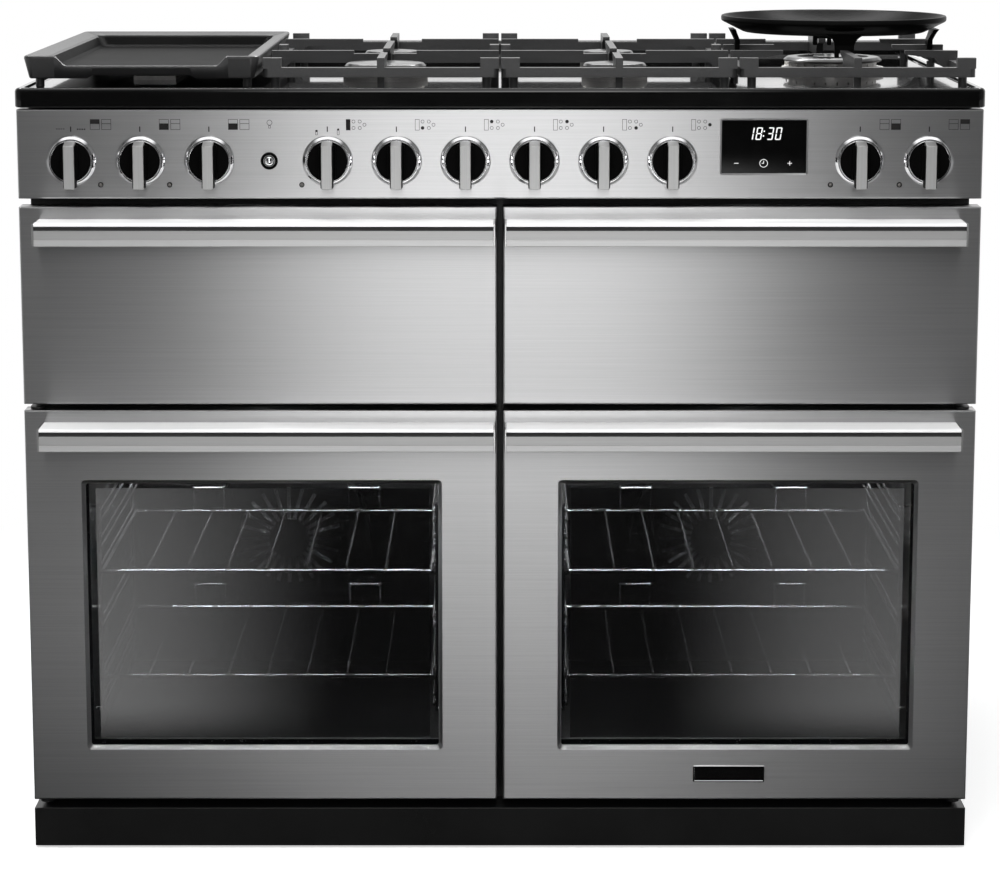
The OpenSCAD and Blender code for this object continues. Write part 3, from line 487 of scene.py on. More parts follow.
@dataclass(frozen=True)
class DisplayGlass(Finish):
    """Opaque black display glass."""

    def build(self) -> Material:
        """Black under a clear coat with faint fingerprints."""
        s = Surface(self.name, IOR=1.5, Coat_Roughness=0.01, Specular_IOR_Level=0.3)
        print_mark = s.noise(60.0, 4.0, 0.7)
        s.dress(Base_Color=s.mix(print_mark.ramp(0.4, 0.8), self.colour, shade(self.colour, 1.6)),
                Roughness=print_mark * 0.03 + self.rough, Coat_Weight=print_mark * -0.1 + 0.6)
        return s.material


@dataclass(frozen=True)
class Glow(Finish):
    """Lit segments of the clock."""

    power: float = 1.0

    def build(self) -> Material:
        """Emission that is a little weaker here and there, as in a real display."""
        s = Surface(self.name, Emission_Strength=self.power, Base_Color=(0.02, 0.02, 0.02),
                    Roughness=0.4)
        uneven = s.noise(240.0, 1.0)
        s.dress(Emission_Color=s.mix(uneven.ramp(0.2, 0.8), shade(self.colour, 0.88), self.colour))
        return s.material


STEEL = BrushedSteel("brushed_steel", (0.42, 0.42, 0.423), 0.31, Grain.ALONG_X, 0.95)
STEEL_BAR = BrushedSteel("knob_bar_steel", (0.44, 0.44, 0.437), 0.34, Grain.ALONG_Z, 0.5, 0.0,
                         metal=0.7)
HANDLE_FACE = BrushedSteel("handle_face_alloy", (0.36, 0.36, 0.36), 0.40, Grain.ALONG_X, 0.8,
                           metal=0.35)
# Lighter copy of the handle alloy for its lower front: painted light, the same metal as the face.
HANDLE_LOW_LIT = BrushedSteel("handle_lower_painted_light", (0.55, 0.55, 0.55), 0.40, Grain.ALONG_X, 0.8,
                          metal=0.35)
# Near-white alloy on the handle's top band: a painted highlight from the light above.
HANDLE_TOP_HIGHLIGHT = BrushedSteel("handle_top_painted_highlight", (0.94, 0.94, 0.94), 0.42, Grain.ALONG_X, 0.9,
                          metal=0.25)
HANDLE_END = PolishedMetal("handle_end_alloy", (0.45, 0.45, 0.45), 0.25)
CHROME = PolishedMetal("bright_chrome", (0.86, 0.86, 0.87), 0.05, 0.04)
WIRE = PolishedMetal("shelf_chrome", (0.80, 0.80, 0.82), 0.13, 0.08)
BRASS = PolishedMetal("tap_brass", (0.78, 0.57, 0.26), 0.22, 0.1)
SHEET = PolishedMetal("plain_sheet_steel", (0.55, 0.56, 0.57), 0.32, 0.1)
MOTOR = PolishedMetal("motor_case_steel", (0.42, 0.43, 0.44), 0.35, 0.12)
ZINC = ZincSheet("zinc_sheet", (0.62, 0.64, 0.66), 0.38)
IRON = CastSurface("cast_iron_enamel", (0.030, 0.030, 0.0305), 0.36, 0.0, 900.0, 0.30)
# Darker iron for the upward faces inside the griddle: painted shade of the hollow. Its lower shine is
# a setting of the surface.
TRAY_IRON_SHADED = CastSurface("griddle_hollow_painted_shade", (0.006, 0.006, 0.006), 0.46, 0.0, 700.0, 0.35, 0.015)
RING_IRON = CastSurface("ring_enamel", (0.005, 0.005, 0.005), 0.30, 0.0, 900.0, 0.12, 0.015)
ALLOY = CastSurface("burner_casting_alloy", (0.52, 0.51, 0.50), 0.42, 1.0, 1400.0, 0.10)
ELEMENT = CastSurface("element_sheath", (0.16, 0.15, 0.14), 0.55, 0.4, 1600.0, 0.12)
HOB_BLACK = Enamel("hob_black_enamel", (0.003, 0.003, 0.003), 0.03, gloss=0.5)
CAP_BLACK = Enamel("burner_cap_enamel", (0.014, 0.014, 0.014), 0.30, gloss=0.5)
OVEN_ENAMEL = Enamel("oven_speckled_enamel", (0.018, 0.018, 0.020), 0.28, (0.16, 0.17, 0.18),
                     520.0, 0.7)
PAN_ENAMEL = Enamel("pan_speckled_enamel", (0.012, 0.012, 0.014), 0.26, (0.30, 0.31, 0.32),
                    380.0, 0.8)
CASE_PAINT = PaintedSheet("case_powder_coat", (0.018, 0.018, 0.019), 0.42)
FRAME_PAINT = PaintedSheet("frame_black", (0.010, 0.010, 0.010), 0.40)
PLINTH_PAINT = PaintedSheet("plinth_black", (0.008, 0.008, 0.008), 0.30, 900.0, 0.05)
KNOB_PLASTIC = PaintedSheet("knob_moulding", (0.0025, 0.0025, 0.0025), 0.30, 2200.0, 0.08, 0.01)
RUBBER = PaintedSheet("foot_moulding", (0.020, 0.020, 0.020), 0.60, 700.0, 0.2)
INK = PaintedSheet("panel_print", (0.016, 0.015, 0.015), 0.6, 2600.0, 0.05, 0.12)
# Near-black paint in the handles' groove: painted shade in the recess.
GROOVE_SHADE = PaintedSheet("handle_groove_painted_shade", (0.030, 0.030, 0.030), 0.5, 1800.0, 0.05, 0.15)
CERAMIC = PaintedSheet("electrode_ceramic", (0.50, 0.49, 0.46), 0.35, 1200.0, 0.05)
LENS = DisplayGlass("smoked_lens", (0.10, 0.095, 0.09), 0.12)
DISPLAY = DisplayGlass("clock_glass", (0.002, 0.002, 0.002), 0.02)
SEAL = BraidedFibre("seal_braid", (0.05, 0.05, 0.05), 0.75)
OUTER_GLASS = WindowGlass("window_glass", (0.002, 0.002, 0.002), 0.01, 0.95,
                          (0.98, 0.98, 0.98), 1.45)
COATED_GLASS = WindowGlass("coated_glass", (0.002, 0.002, 0.002), 0.02, 0.52,
                           (0.92, 0.93, 0.94), 9.0)
INNER_GLASS = WindowGlass("inner_window_glass", (0.002, 0.002, 0.002), 0.03, 0.92,
                          (0.96, 0.97, 0.97), 1.5)
DIGITS = Glow("clock_digits_light", (1.0, 1.0, 1.0), power=1.1)


# Mesh tools


@dataclass(frozen=True)
class Loop:
    """One rounded rectangle of a lofted shell, across u and v, at a level."""

    u0: float
    u1: float
    v0: float
    v1: float
    level: float
    radius: float = 0.0002

    def grown(self, by: float, level: float, radius: float | None = None) -> "Loop":
        """The same loop, larger by an amount on every side, at another level.

        Args:
            by: How far each side moves out.
            level: The new level.
            radius: The new corner radius, or None to let it follow.

        Returns:
            The new loop.
        """
        r = max(0.0002, self.radius + by) if radius is None else radius
        return Loop(self.u0 - by, self.u1 + by, self.v0 - by, self.v1 + by, level, r)


class Plane(Enum):
    """The plane that a loop lies in: the front, seen along Y, or the top, seen along Z."""

    FRONT = "front"
    TOP = "top"


def bevel_edges(bm: BMesh, edges: list, width: float, segments: int = 2) -> None:
    """Rounds edges."""
    bmesh.ops.bevel(bm, geom=edges, offset=width, offset_type="OFFSET", segments=segments,
                    profile=0.5, affect="EDGES", clamp_overlap=True, material=-1)


def sharp_edges(bm: BMesh, angle: float = 35.0) -> list:
    """Edges whose two faces meet at more than an angle."""
    limit = math.radians(angle)
    return [e for e in bm.edges if len(e.link_faces) == 2 and e.calc_face_angle(0.0) > limit]


def loop_points(loop: Loop, plane: Plane, segments: int) -> list[Vector]:
    """Points of one loop, always from the same corner and the same way round.

    Args:
        loop: The loop.
        plane: The plane it lies in.
        segments: Faces of each rounded corner.

    Returns:
        The points in order.
    """
    bm = bmesh.new()
    made = bmesh.ops.create_grid(bm, x_segments=1, y_segments=1, size=0.5)["verts"]
    bmesh.ops.scale(bm, vec=(loop.u1 - loop.u0, loop.v1 - loop.v0, 1.0), verts=made)
    bmesh.ops.bevel(bm, geom=made, offset=loop.radius, offset_type="OFFSET", segments=segments,
                    profile=0.5, affect="VERTICES", material=-1)
    u, v = (loop.u0 + loop.u1) / 2, (loop.v0 + loop.v1) / 2
    bmesh.ops.translate(bm, vec=(u, v, loop.level), verts=bm.verts)
    bm.faces.ensure_lookup_table()
    flat = [corner.vert.co.copy() for corner in bm.faces[0].loops]
    bm.free()
    return [Vector((p.x, p.z, p.y)) for p in flat] if plane is Plane.FRONT else flat


def loft(bm: BMesh, loops: list[Loop], plane: Plane, segments: int = 4,
         ends: tuple[bool, bool] = (True, True), closed: bool = False) -> None:
    """Extrudes a loop of edges from each outline to the next.

    Args:
        bm: The mesh.
        loops: The outlines in order.
        plane: The plane they lie in.
        segments: Faces of each rounded corner.
        ends: Whether the first and the last outline are filled.
        closed: Whether the last outline is joined to the first.
    """
    part = bmesh.new()
    rows = [loop_points(loop, plane, segments) for loop in loops + loops[:closed]]
    row = [part.verts.new(point) for point in rows[0]]
    edges = [part.edges.new(pair) for pair in zip(row, row[1:] + row[:1])]
    if ends[0] and not closed:
        part.faces.new(row)
    for target in rows[1:]:
        order = {tuple(vert.co): i for i, vert in enumerate(row)}
        made = bmesh.ops.extrude_edge_only(part, edges=edges)["geom"]
        fresh = [item for item in made if isinstance(item, BMVert)]
        known = set(fresh)
        row = sorted(fresh, key=lambda vert: order[tuple(vert.co)])
        edges = [e for e in made if isinstance(e, BMEdge) and known >= set(e.verts)]
        for vert, point in zip(row, target):
            vert.co = point
    if ends[1] and not closed:
        part.faces.new(row)
    bmesh.ops.remove_doubles(part, verts=part.verts, dist=1e-7)
    bmesh.ops.recalc_face_normals(part, faces=part.faces)
    absorb(bm, part)


def add_box(bm: BMesh, low: tuple, high: tuple, width: float = 0.0,
            segments: int = 2) -> list:
    """Adds a box with rounded edges.

    Args:
        bm: The mesh.
        low: Its lowest corner.
        high: Its highest corner.
        width: The rounding of its edges.
        segments: Faces of the rounding.

    Returns:
        Its vertices.
    """
    part = bmesh.new()
    made = bmesh.ops.create_cube(part, size=1.0)["verts"]
    low, high = Vector(low), Vector(high)
    bmesh.ops.scale(part, vec=high - low, verts=made)
    bmesh.ops.translate(part, vec=(low + high) / 2, verts=made)
    if width:
        bevel_edges(part, list(part.edges), width, segments)
    return absorb(bm, part)


def absorb(bm: BMesh, part: BMesh) -> list:
    """Moves a part's mesh into another mesh and returns its new vertices."""
    before = len(bm.verts)
    mesh = bpy.data.meshes.new("part")
    part.to_mesh(mesh)
    part.free()
    bm.from_mesh(mesh)
    bpy.data.meshes.remove(mesh)
    bm.verts.ensure_lookup_table()
    return bm.verts[before:]


def add_spun(bm: BMesh, profile: list[tuple[float, float]], centre: tuple,
             along: str = "Y", steps: int = 64) -> list:
    """Spins an outline round an axis.

    Args:
        bm: The mesh.
        profile: Radius and height of each point of the outline.
        centre: Where the axis starts.
        along: The axis, Y for outwards from the front and Z for up.
        steps: Faces round the axis.

    Returns:
        The new vertices.
    """
    part = bmesh.new()
    verts = [part.verts.new((r, 0, h)) for r, h in profile]
    edges = [part.edges.new(pair) for pair in zip(verts, verts[1:])]
    bmesh.ops.spin(part, geom=verts + edges, cent=(0, 0, 0), axis=(0, 0, 1),
                   angle=2 * math.pi, steps=steps, use_merge=True, use_duplicate=False)
    bmesh.ops.remove_doubles(part, verts=part.verts, dist=1e-6)
    bmesh.ops.recalc_face_normals(part, faces=part.faces)
    if along == "Y":
        bmesh.ops.rotate(part, cent=(0, 0, 0), matrix=Matrix.Rotation(math.radians(90), 3, "X"),
                         verts=part.verts)
    bmesh.ops.translate(part, vec=centre, verts=part.verts)
    return absorb(bm, part)


def add_prism(bm: BMesh, outline: list[tuple[float, float]], x0: float,
              x1: float) -> list:
    """Extrudes an outline across Y and Z along X and returns the new vertices."""
    part = bmesh.new()
    face = part.faces.new([part.verts.new((x0, y, z)) for y, z in outline])
    out = bmesh.ops.extrude_face_region(part, geom=[face])["geom"]
    moved = [v for v in out if isinstance(v, BMVert)]
    bmesh.ops.translate(part, vec=(x1 - x0, 0, 0), verts=moved)
    bmesh.ops.recalc_face_normals(part, faces=part.faces)
    return absorb(bm, part)


def cad_mesh(node: str, width: float, segments: int = 2, angle: float = 35.0) -> BMesh:
    """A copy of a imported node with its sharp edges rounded.

    Args:
        node: The node's name.
        width: The rounding.
        segments: Faces of the rounding.
        angle: The least angle of an edge that is rounded.

    Returns:
        The new mesh.
    """
    bm = bmesh.new()
    bm.from_mesh(bpy.data.objects[node].data)
    bmesh.ops.remove_doubles(bm, verts=bm.verts, dist=2e-6)
    bmesh.ops.dissolve_limit(bm, angle_limit=math.radians(0.8), verts=bm.verts, edges=bm.edges)
    if width:
        bevel_edges(bm, sharp_edges(bm, angle), width, segments)
    bmesh.ops.remove_doubles(bm, verts=bm.verts, dist=1e-6)
    return bm


def lies_flat(face: BMFace) -> bool:
    """Whether a face goes on in one plane across a long edge."""
    limit = math.radians(0.4)
    return any(len(e.link_faces) == 2 and e.calc_length() > 0.003 and e.calc_face_angle(9.0) < limit
               for e in face.edges)


@dataclass
class Piece:
    """How a finished mesh becomes a piece of the cooker."""

    name: str
    body: str
    finishes: tuple
    stands_for: tuple = ()
    slot: str = ""
    flat_over: float = 4e-4
    recalculate: bool = True

    def place(self, bm: BMesh) -> Object:
        """Makes the object, dresses it and hangs it on its body.

        Args:
            bm: The finished mesh, which is freed.

        Returns:
            The object.
        """
        if self.recalculate:
            bmesh.ops.recalc_face_normals(bm, faces=bm.faces)
        smooth = [f.calc_area() < self.flat_over and not lies_flat(f) for f in bm.faces]
        mesh = bpy.data.meshes.new(self.name)
        bm.to_mesh(mesh)
        bm.free()
        mesh.set_sharp_from_angle(angle=math.radians(38))
        mesh.polygons.foreach_set("use_smooth", smooth)
        obj = bpy.data.objects.new(self.name, mesh)
        bpy.context.scene.collection.objects.link(obj)
        for finish in self.finishes:
            mesh.materials.append(finish.make())
        if self.stands_for:
            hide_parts(*self.stands_for)
        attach(obj, self.body)
        LOG.info("%s rides on %s with %d faces", self.name, self.body, len(mesh.polygons))
        return obj


def mark(verts: list, index: int) -> None:
    """Gives the faces that lie wholly on these vertices a material index."""
    known = set(verts)
    for vert in verts:
        for face in vert.link_faces:
            if all(v in known for v in face.verts):
                face.material_index = index


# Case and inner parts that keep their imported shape


@dataclass
class Carcass:
    """Case, frame, liners and works behind the fronts."""

    edge: float = 0.0006

    def dress_nodes(self) -> None:
        """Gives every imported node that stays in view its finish."""
        finishes = {
            "side_panels": CASE_PAINT, "back_panel": ZINC, "chassis_base": ZINC,
            "front_frame": FRAME_PAINT, "left_oven_liner": OVEN_ENAMEL,
            "right_oven_liner": OVEN_ENAMEL, "grill_chamber": OVEN_ENAMEL,
            "drawer_housing": ZINC, "taps_and_switches": BRASS, "oven_shelves": WIRE,
            "shelf_racks": WIRE, "fan_covers": OVEN_ENAMEL, "fan_motors": MOTOR,
            "heating_elements": ELEMENT, "door_seals": SEAL, "left_fan": SHEET,
            "right_fan": SHEET, "rear_rollers": MOTOR, "drawer_mid_rails": ZINC,
            "drawer_box": SHEET, "burner_bodies": ALLOY,
        }
        for name, finish in finishes.items():
            node = bpy.data.objects[name]
            if not node.material_slots:
                node.data.materials.append(None)
            for slot in node.material_slots:
                slot.material = finish.make()
            LOG.info("%s keeps its packed shape in %s", name, finish.name)

    def rounded(self) -> None:
        """Replaces small visible nodes by copies with rounded edges."""
        for name, finish, slot in (("plinth", PLINTH_PAINT, "plinth_paint"),
                                   ("levelling_feet", RUBBER, "foot_plastic"),
                                   ("grill_pan", PAN_ENAMEL, "pan_enamel")):
            Piece(name + "_shaped", "cabinet", (finish,), (name,), slot,
                  recalculate=False).place(cad_mesh(name, self.edge))


# Control panel


@dataclass
class ControlPanel:
    """Brushed panel with its print, lenses, clock, bezels and light button."""

    x_clock: float = 0.2974
    clock_w: float = 0.0955
    clock_h: float = 0.060
    clock_drop: float = 0.012
    button_x: float = -0.260
    print_t: float = 0.00012
    sink: float = 0.0002
    line: float = 0.00045
    lens_xs: tuple = (-0.4504, -0.3727, -0.2235, 0.3727, 0.4504)

    def build(self) -> None:
        """Builds every piece of the panel."""
        self.build_panel()
        self.build_print()
        self.build_clock()
        self.build_bezels()
        self.build_lenses()
        self.build_button()

    def window(self) -> Loop:
        """The clock's opening in the panel's face."""
        top = PLAN.z_fascia_top - self.clock_drop
        return Loop(self.x_clock - self.clock_w / 2, self.x_clock + self.clock_w / 2,
                    top - self.clock_h, top, PLAN.y_front, 0.0012)

    def build_panel(self) -> None:
        """Folded panel with rounded edges and a pressed step round the clock."""
        bm = bmesh.new()
        y, back, t = PLAN.y_front, -0.2392, 0.0015
        outer = Loop(-PLAN.half_front, PLAN.half_front, PLAN.z_fascia, PLAN.z_fascia_top, y, 0.001)
        clock = self.window()
        loft(bm, [outer.grown(-t, y + t, 0.0006), outer.grown(-t, back, 0.0006),
                  outer.grown(0, back), outer.grown(0, y + 0.0018),
                  outer.grown(-0.0005, y + 0.0006), outer.grown(-0.0018, y),
                  clock.grown(0.0020, y), clock.grown(0.0016, y + 0.0002),
                  clock.grown(0.0001, y + 0.0011), clock.grown(0, y + t)], Plane.FRONT, 3,
             closed=True)
        Piece("control_panel_face", "cabinet", (STEEL,), ("control_panel",), "steel").place(bm)

    def stroke(self, bm: BMesh, x0: float, x1: float, z0: float, z1: float) -> None:
        """Adds one printed rectangle."""
        y = PLAN.y_front
        add_box(bm, (x0, y - self.print_t, z0), (x1, y + self.sink, z1))

    def frame(self, bm: BMesh, x0: float, x1: float, z0: float, z1: float) -> None:
        """Adds the outline of a printed rectangle."""
        line = self.line
        self.stroke(bm, x0, x1, z1 - line, z1)
        self.stroke(bm, x0, x1, z0, z0 + line)
        self.stroke(bm, x0, x0 + line, z0 + line, z1 - line)
        self.stroke(bm, x1 - line, x1, z0 + line, z1 - line)

    def dot(self, bm: BMesh, x: float, z: float, r: float, filled: bool) -> None:
        """Adds a printed circle, filled or as a line."""
        inner = 0.0 if filled else r - 0.0005
        profile = [(inner, self.print_t), (r, self.print_t), (r, -self.sink),
                   (inner, -self.sink)]
        if not filled:
            profile = profile[-1:] + profile
        add_spun(bm, profile, (x, PLAN.y_front, z), "Y", 20)

    def oven_sign(self, bm: BMesh, x: float, z: float, chosen: int) -> None:
        """Adds the four-compartment diagram of an oven knob with one compartment filled."""
        w, top, low = 0.0108, 0.0052, 0.0072
        for i, (cx, upper) in enumerate(((x, True), (x, False), (x + w + 0.0021, True),
                                         (x + w + 0.0021, False))):
            z1 = z if upper else z - top + 0.0005
            z0 = z1 - (top if upper else low)
            self.frame(bm, cx, cx + w, z0, z1)
            if i == chosen:
                self.stroke(bm, cx, cx + w, z0, z1)

    def hob_sign(self, bm: BMesh, x: float, z: float, chosen: int) -> None:
        """Adds the diagram of the hob with the griddle or one burner filled."""
        self.frame(bm, x, x + 0.0050, z - 0.0125, z)
        if chosen == 0:
            self.stroke(bm, x, x + 0.0050, z - 0.0125, z)
        places = [(0.0085, -0.0098), (0.0085, -0.0026), (0.0155, -0.0026), (0.0155, -0.0098),
                  (0.0208, -0.0062)]
        for i, (dx, dz) in enumerate(places):
            self.dot(bm, x + dx, z + dz, 0.0020, i + 1 == chosen)

    def build_print(self) -> None:
        """Pointer lines, diagrams, the lamp sign and the small marks beside two knobs."""
        bm = bmesh.new()
        xs = PLAN.knob_xs()
        for x in xs:
            self.stroke(bm, x - 0.0006, x + 0.0006, 0.8408, 0.8468)
        for i, chosen in ((0, 0), (1, 1), (2, 1), (9, 3), (10, 2)):
            self.oven_sign(bm, xs[i] + 0.0218, 0.8550, chosen)
        for i, chosen in ((3, 0), (4, 1), (5, 2), (6, 3), (7, 4), (8, 5)):
            self.hob_sign(bm, xs[i] + 0.0210, 0.8550, chosen)
        for k in range(4):
            for side in (-1, 1):
                x = xs[0] + side * (0.0078 + 0.0026 * k)
                self.stroke(bm, x - 0.0008, x + 0.0008, 0.8436 - 0.0006 * (side > 0), 0.8445)
        for side, tall in ((-1, 0.0030), (1, 0.0046)):
            x = xs[3] + side * 0.0122
            self.frame(bm, x - 0.0013, x + 0.0013, 0.8372, 0.8372 + 0.0056)
            self.dot(bm, x, 0.8372 + tall + 0.0016, 0.0012, True)
        self.dot(bm, -0.2592, 0.8512, 0.0031, False)
        self.frame(bm, -0.2605, -0.2579, 0.8448, 0.8480)
        Piece("panel_print", "cabinet", (INK,), (), "").place(bm)

    def build_clock(self) -> None:
        """Black glass with lit figures and the three touch marks."""
        loop = self.window()
        bm = bmesh.new()
        y = PLAN.y_front
        glass = loop.grown(-0.0002, y + 0.0012, 0.001)
        loft(bm, [glass.grown(0, y + 0.026), glass.grown(0, y + 0.0014),
                  glass.grown(-0.0004, y + 0.0011)], Plane.FRONT, 3)
        add_box(bm, (loop.u0 - 0.003, y + 0.0017, loop.v0 - 0.003),
                (loop.u1 + 0.003, y + 0.026, loop.v1 + 0.003), 0.0006)
        Piece("clock_glass", "cabinet", (DISPLAY,), ("clock",), "clock_face").place(bm)
        self.build_figures(y + 0.0011)

    def build_figures(self, y: float) -> None:
        """The time in leaning seven-segment figures, with minus, clock and plus marks."""
        bm = bmesh.new()
        lit = {"1": "bc", "8": "abcdefg", "3": "abcdg", "0": "abcdef"}
        h, w, t, lean = 0.0142, 0.0066, 0.00135, 0.16
        z0, d = 0.8316, self.sink
        upper = (h / 2 + t * 0.35, h - t * 0.35)
        lower = (t * 0.35, h / 2 - t * 0.35)
        boxes = {
            "a": (t * 0.6, w - t * 0.6, h - t, h),
            "g": (t * 0.8, w - t * 0.8, h / 2 - t / 2, h / 2 + t / 2),
            "d": (t * 0.6, w - t * 0.6, 0, t),
            "b": (w - t, w, *upper), "c": (w - t, w, *lower),
            "f": (0, t, *upper), "e": (0, t, *lower),
        }
        for digit, x in (("1", 0.2780), ("8", 0.2872), ("3", 0.3000), ("0", 0.3092)):
            for x0, x1, low, high in (boxes[name] for name in lit[digit]):
                made = add_box(bm, (x + x0, y - d, z0 + low), (x + x1, y + d, z0 + high),
                               0.00019, 1)
                for v in made:
                    v.co.x += lean * (v.co.z - z0)
        for z in (z0 + 0.0045, z0 + 0.0098):
            add_spun(bm, [(0.0, d), (0.0009, d), (0.0009, -d), (0.0, -d)],
                     (0.2958 + lean * (z - z0), y, z), "Y", 12)
        z1, half, thin = 0.8052, 0.0025, 0.00035
        minus, plus = 0.2664, 0.3266
        for x, dx, dz in ((minus, half, thin), (plus, half, thin), (plus, thin, half)):
            add_box(bm, (x - dx, y - d, z1 - dz), (x + dx, y + d, z1 + dz))
        ring = [(0.0041, d), (0.0047, d), (0.0047, -d), (0.0041, -d), (0.0041, d)]
        add_spun(bm, ring, (0.2972, y, z1), "Y", 32)
        for x0, x1, tall in ((0.2969, 0.2975, 0.0030), (0.2949, 0.2969, 0.0003)):
            add_box(bm, (x0, y - d, z1 - 0.0003), (x1, y + d, z1 + tall))
        Piece("clock_figures", "cabinet", (DIGITS,), (), "").place(bm)

    def build_bezels(self) -> None:
        """Chrome ring with a sloped inner face round each knob."""
        bm = bmesh.new()
        profile = [(0.0242, 0.0), (0.0242, 0.0048), (0.0244, 0.0052), (0.0248, 0.0052),
                   (0.0276, 0.0024), (0.0281, 0.0018), (0.0283, 0.0010), (0.0283, 0.0),
                   (0.0242, 0.0)]
        for x in PLAN.knob_xs():
            add_spun(bm, profile, (x, PLAN.y_front, PLAN.z_knob), "Y", 72)
        Piece("knob_rings", "cabinet", (CHROME,), ("knob_bezels",), "bezel_chrome",
              recalculate=False).place(bm)
        bm = bmesh.new()
        ring = [(0.0066, 0.0), (0.0066, 0.0020), (0.0071, 0.0025), (0.0090, 0.0025),
                (0.0096, 0.0019), (0.00975, 0.0), (0.0066, 0.0)]
        add_spun(bm, ring, (self.button_x, PLAN.y_front, PLAN.z_knob), "Y", 48)
        Piece("light_button_ring", "cabinet", (KNOB_PLASTIC,), (), "",
              recalculate=False).place(bm)

    def build_lenses(self) -> None:
        """Small domed lenses under the knobs, each in a thin collar."""
        bm = bmesh.new()
        z = PLAN.z_fascia + 0.016
        for x in self.lens_xs:
            dome = add_spun(bm, [(0.0, 0.0014), (0.0012, 0.0012), (0.0021, 0.0006),
                                 (0.0022, -0.0012), (0.0, -0.0012)], (x, PLAN.y_front, z), "Y", 28)
            collar = add_spun(bm, [(0.0022, 0.0), (0.0022, 0.0010), (0.0026, 0.0012),
                                   (0.0030, 0.0008), (0.0030, 0.0), (0.0022, 0.0)],
                              (x, PLAN.y_front, z), "Y", 28)
            mark(dome, 0)
            mark(collar, 1)
        Piece("pilot_lenses", "cabinet", (LENS, KNOB_PLASTIC), ("indicator_lenses",), "lens_red",
              recalculate=False).place(bm)

    def build_button(self) -> None:
        """Domed chrome push button on its stem."""
        bm = bmesh.new()
        profile = [(0.0, 0.0055), (0.0020, 0.0053), (0.0038, 0.0046), (0.0051, 0.0034),
                   (0.0058, 0.0020), (0.0060, 0.0008), (0.0060, -0.0020), (0.0020, -0.0020),
                   (0.0020, -0.0140), (0.0, -0.0140)]
        add_spun(bm, profile, (self.button_x, PLAN.y_front, PLAN.z_knob), "Y", 48)
        Piece("light_button_dome", "light_button", (CHROME,), ("light_button",), "button_chrome",
              recalculate=False).place(bm)


@dataclass
class Knob:
    """Black knob with a ridge and a brushed steel bar on it."""

    radius: float = 0.0236
    plate: float = 0.008
    reach: float = 0.022
    bar: float = 0.0120
    ridge: float = 0.0186
    rise: float = 0.0205
    fall: float = 0.0300

    def build(self) -> None:
        """Builds the eleven knobs."""
        for i, x in enumerate(PLAN.knob_xs(), start=1):
            self.build_one(f"knob_{i}", x)

    def build_one(self, body: str, x: float) -> None:
        """One knob.

        Args:
            body: The body that turns, which is also the node's name.
            x: The place of its axis.
        """
        bm = bmesh.new()
        y = PLAN.y_front - 0.0003
        z = PLAN.z_knob
        r, p = self.radius, self.plate
        skirt = add_spun(bm, [(0.0, 0.0), (r, 0.0), (r, p - 0.0012), (r - 0.0002, p - 0.0006),
                              (r - 0.0006, p - 0.0003), (r - 0.0009, p - 0.0006),
                              (r - 0.0009, p - 0.0020), (0.0, p - 0.0020)], (x, y, z), "Y", 72)
        mark(skirt, 2)
        disc = add_spun(bm, [(0.0, p - 0.0022), (r - 0.0010, p - 0.0022), (r - 0.0010, p - 0.0012),
                             (r - 0.0016, p - 0.0006), (0.0, p)], (x, y, z), "Y", 72)
        mark(disc, 0)
        shoulder = add_box(bm, (x - self.ridge / 2, y - p - 0.0060, z - r + 0.0046),
                           (x + self.ridge / 2, y - p + 0.0012, z + r - 0.0046), 0.0015, 3)
        mark(shoulder, 0)
        b = self.bar / 2
        bar = add_box(bm, (x - b, y - self.reach, z - self.fall),
                      (x + b, y - p + 0.0006, z + self.rise), 0.0006, 3)
        for v in bar:
            if v.co.z > z:
                v.co.z += -0.0016 if v.co.y < y - self.reach + 0.002 else 0.0024
        mark(bar, 1)
        for side in (-1, 1):
            flank = add_box(bm, (x + side * (b + 0.0004) - 0.0005, y - self.reach + 0.0012,
                                 z - self.fall + 0.0010),
                            (x + side * (b + 0.0004) + 0.0005, y - p + 0.0006,
                             z + self.rise - 0.0022), 0.0003, 2)
            mark(flank, 0)
        Piece(body + "_grip", body, (KNOB_PLASTIC, STEEL_BAR, CHROME), (body,), "knob_black",
              recalculate=False).place(bm)


# Doors, drawer front and their handles


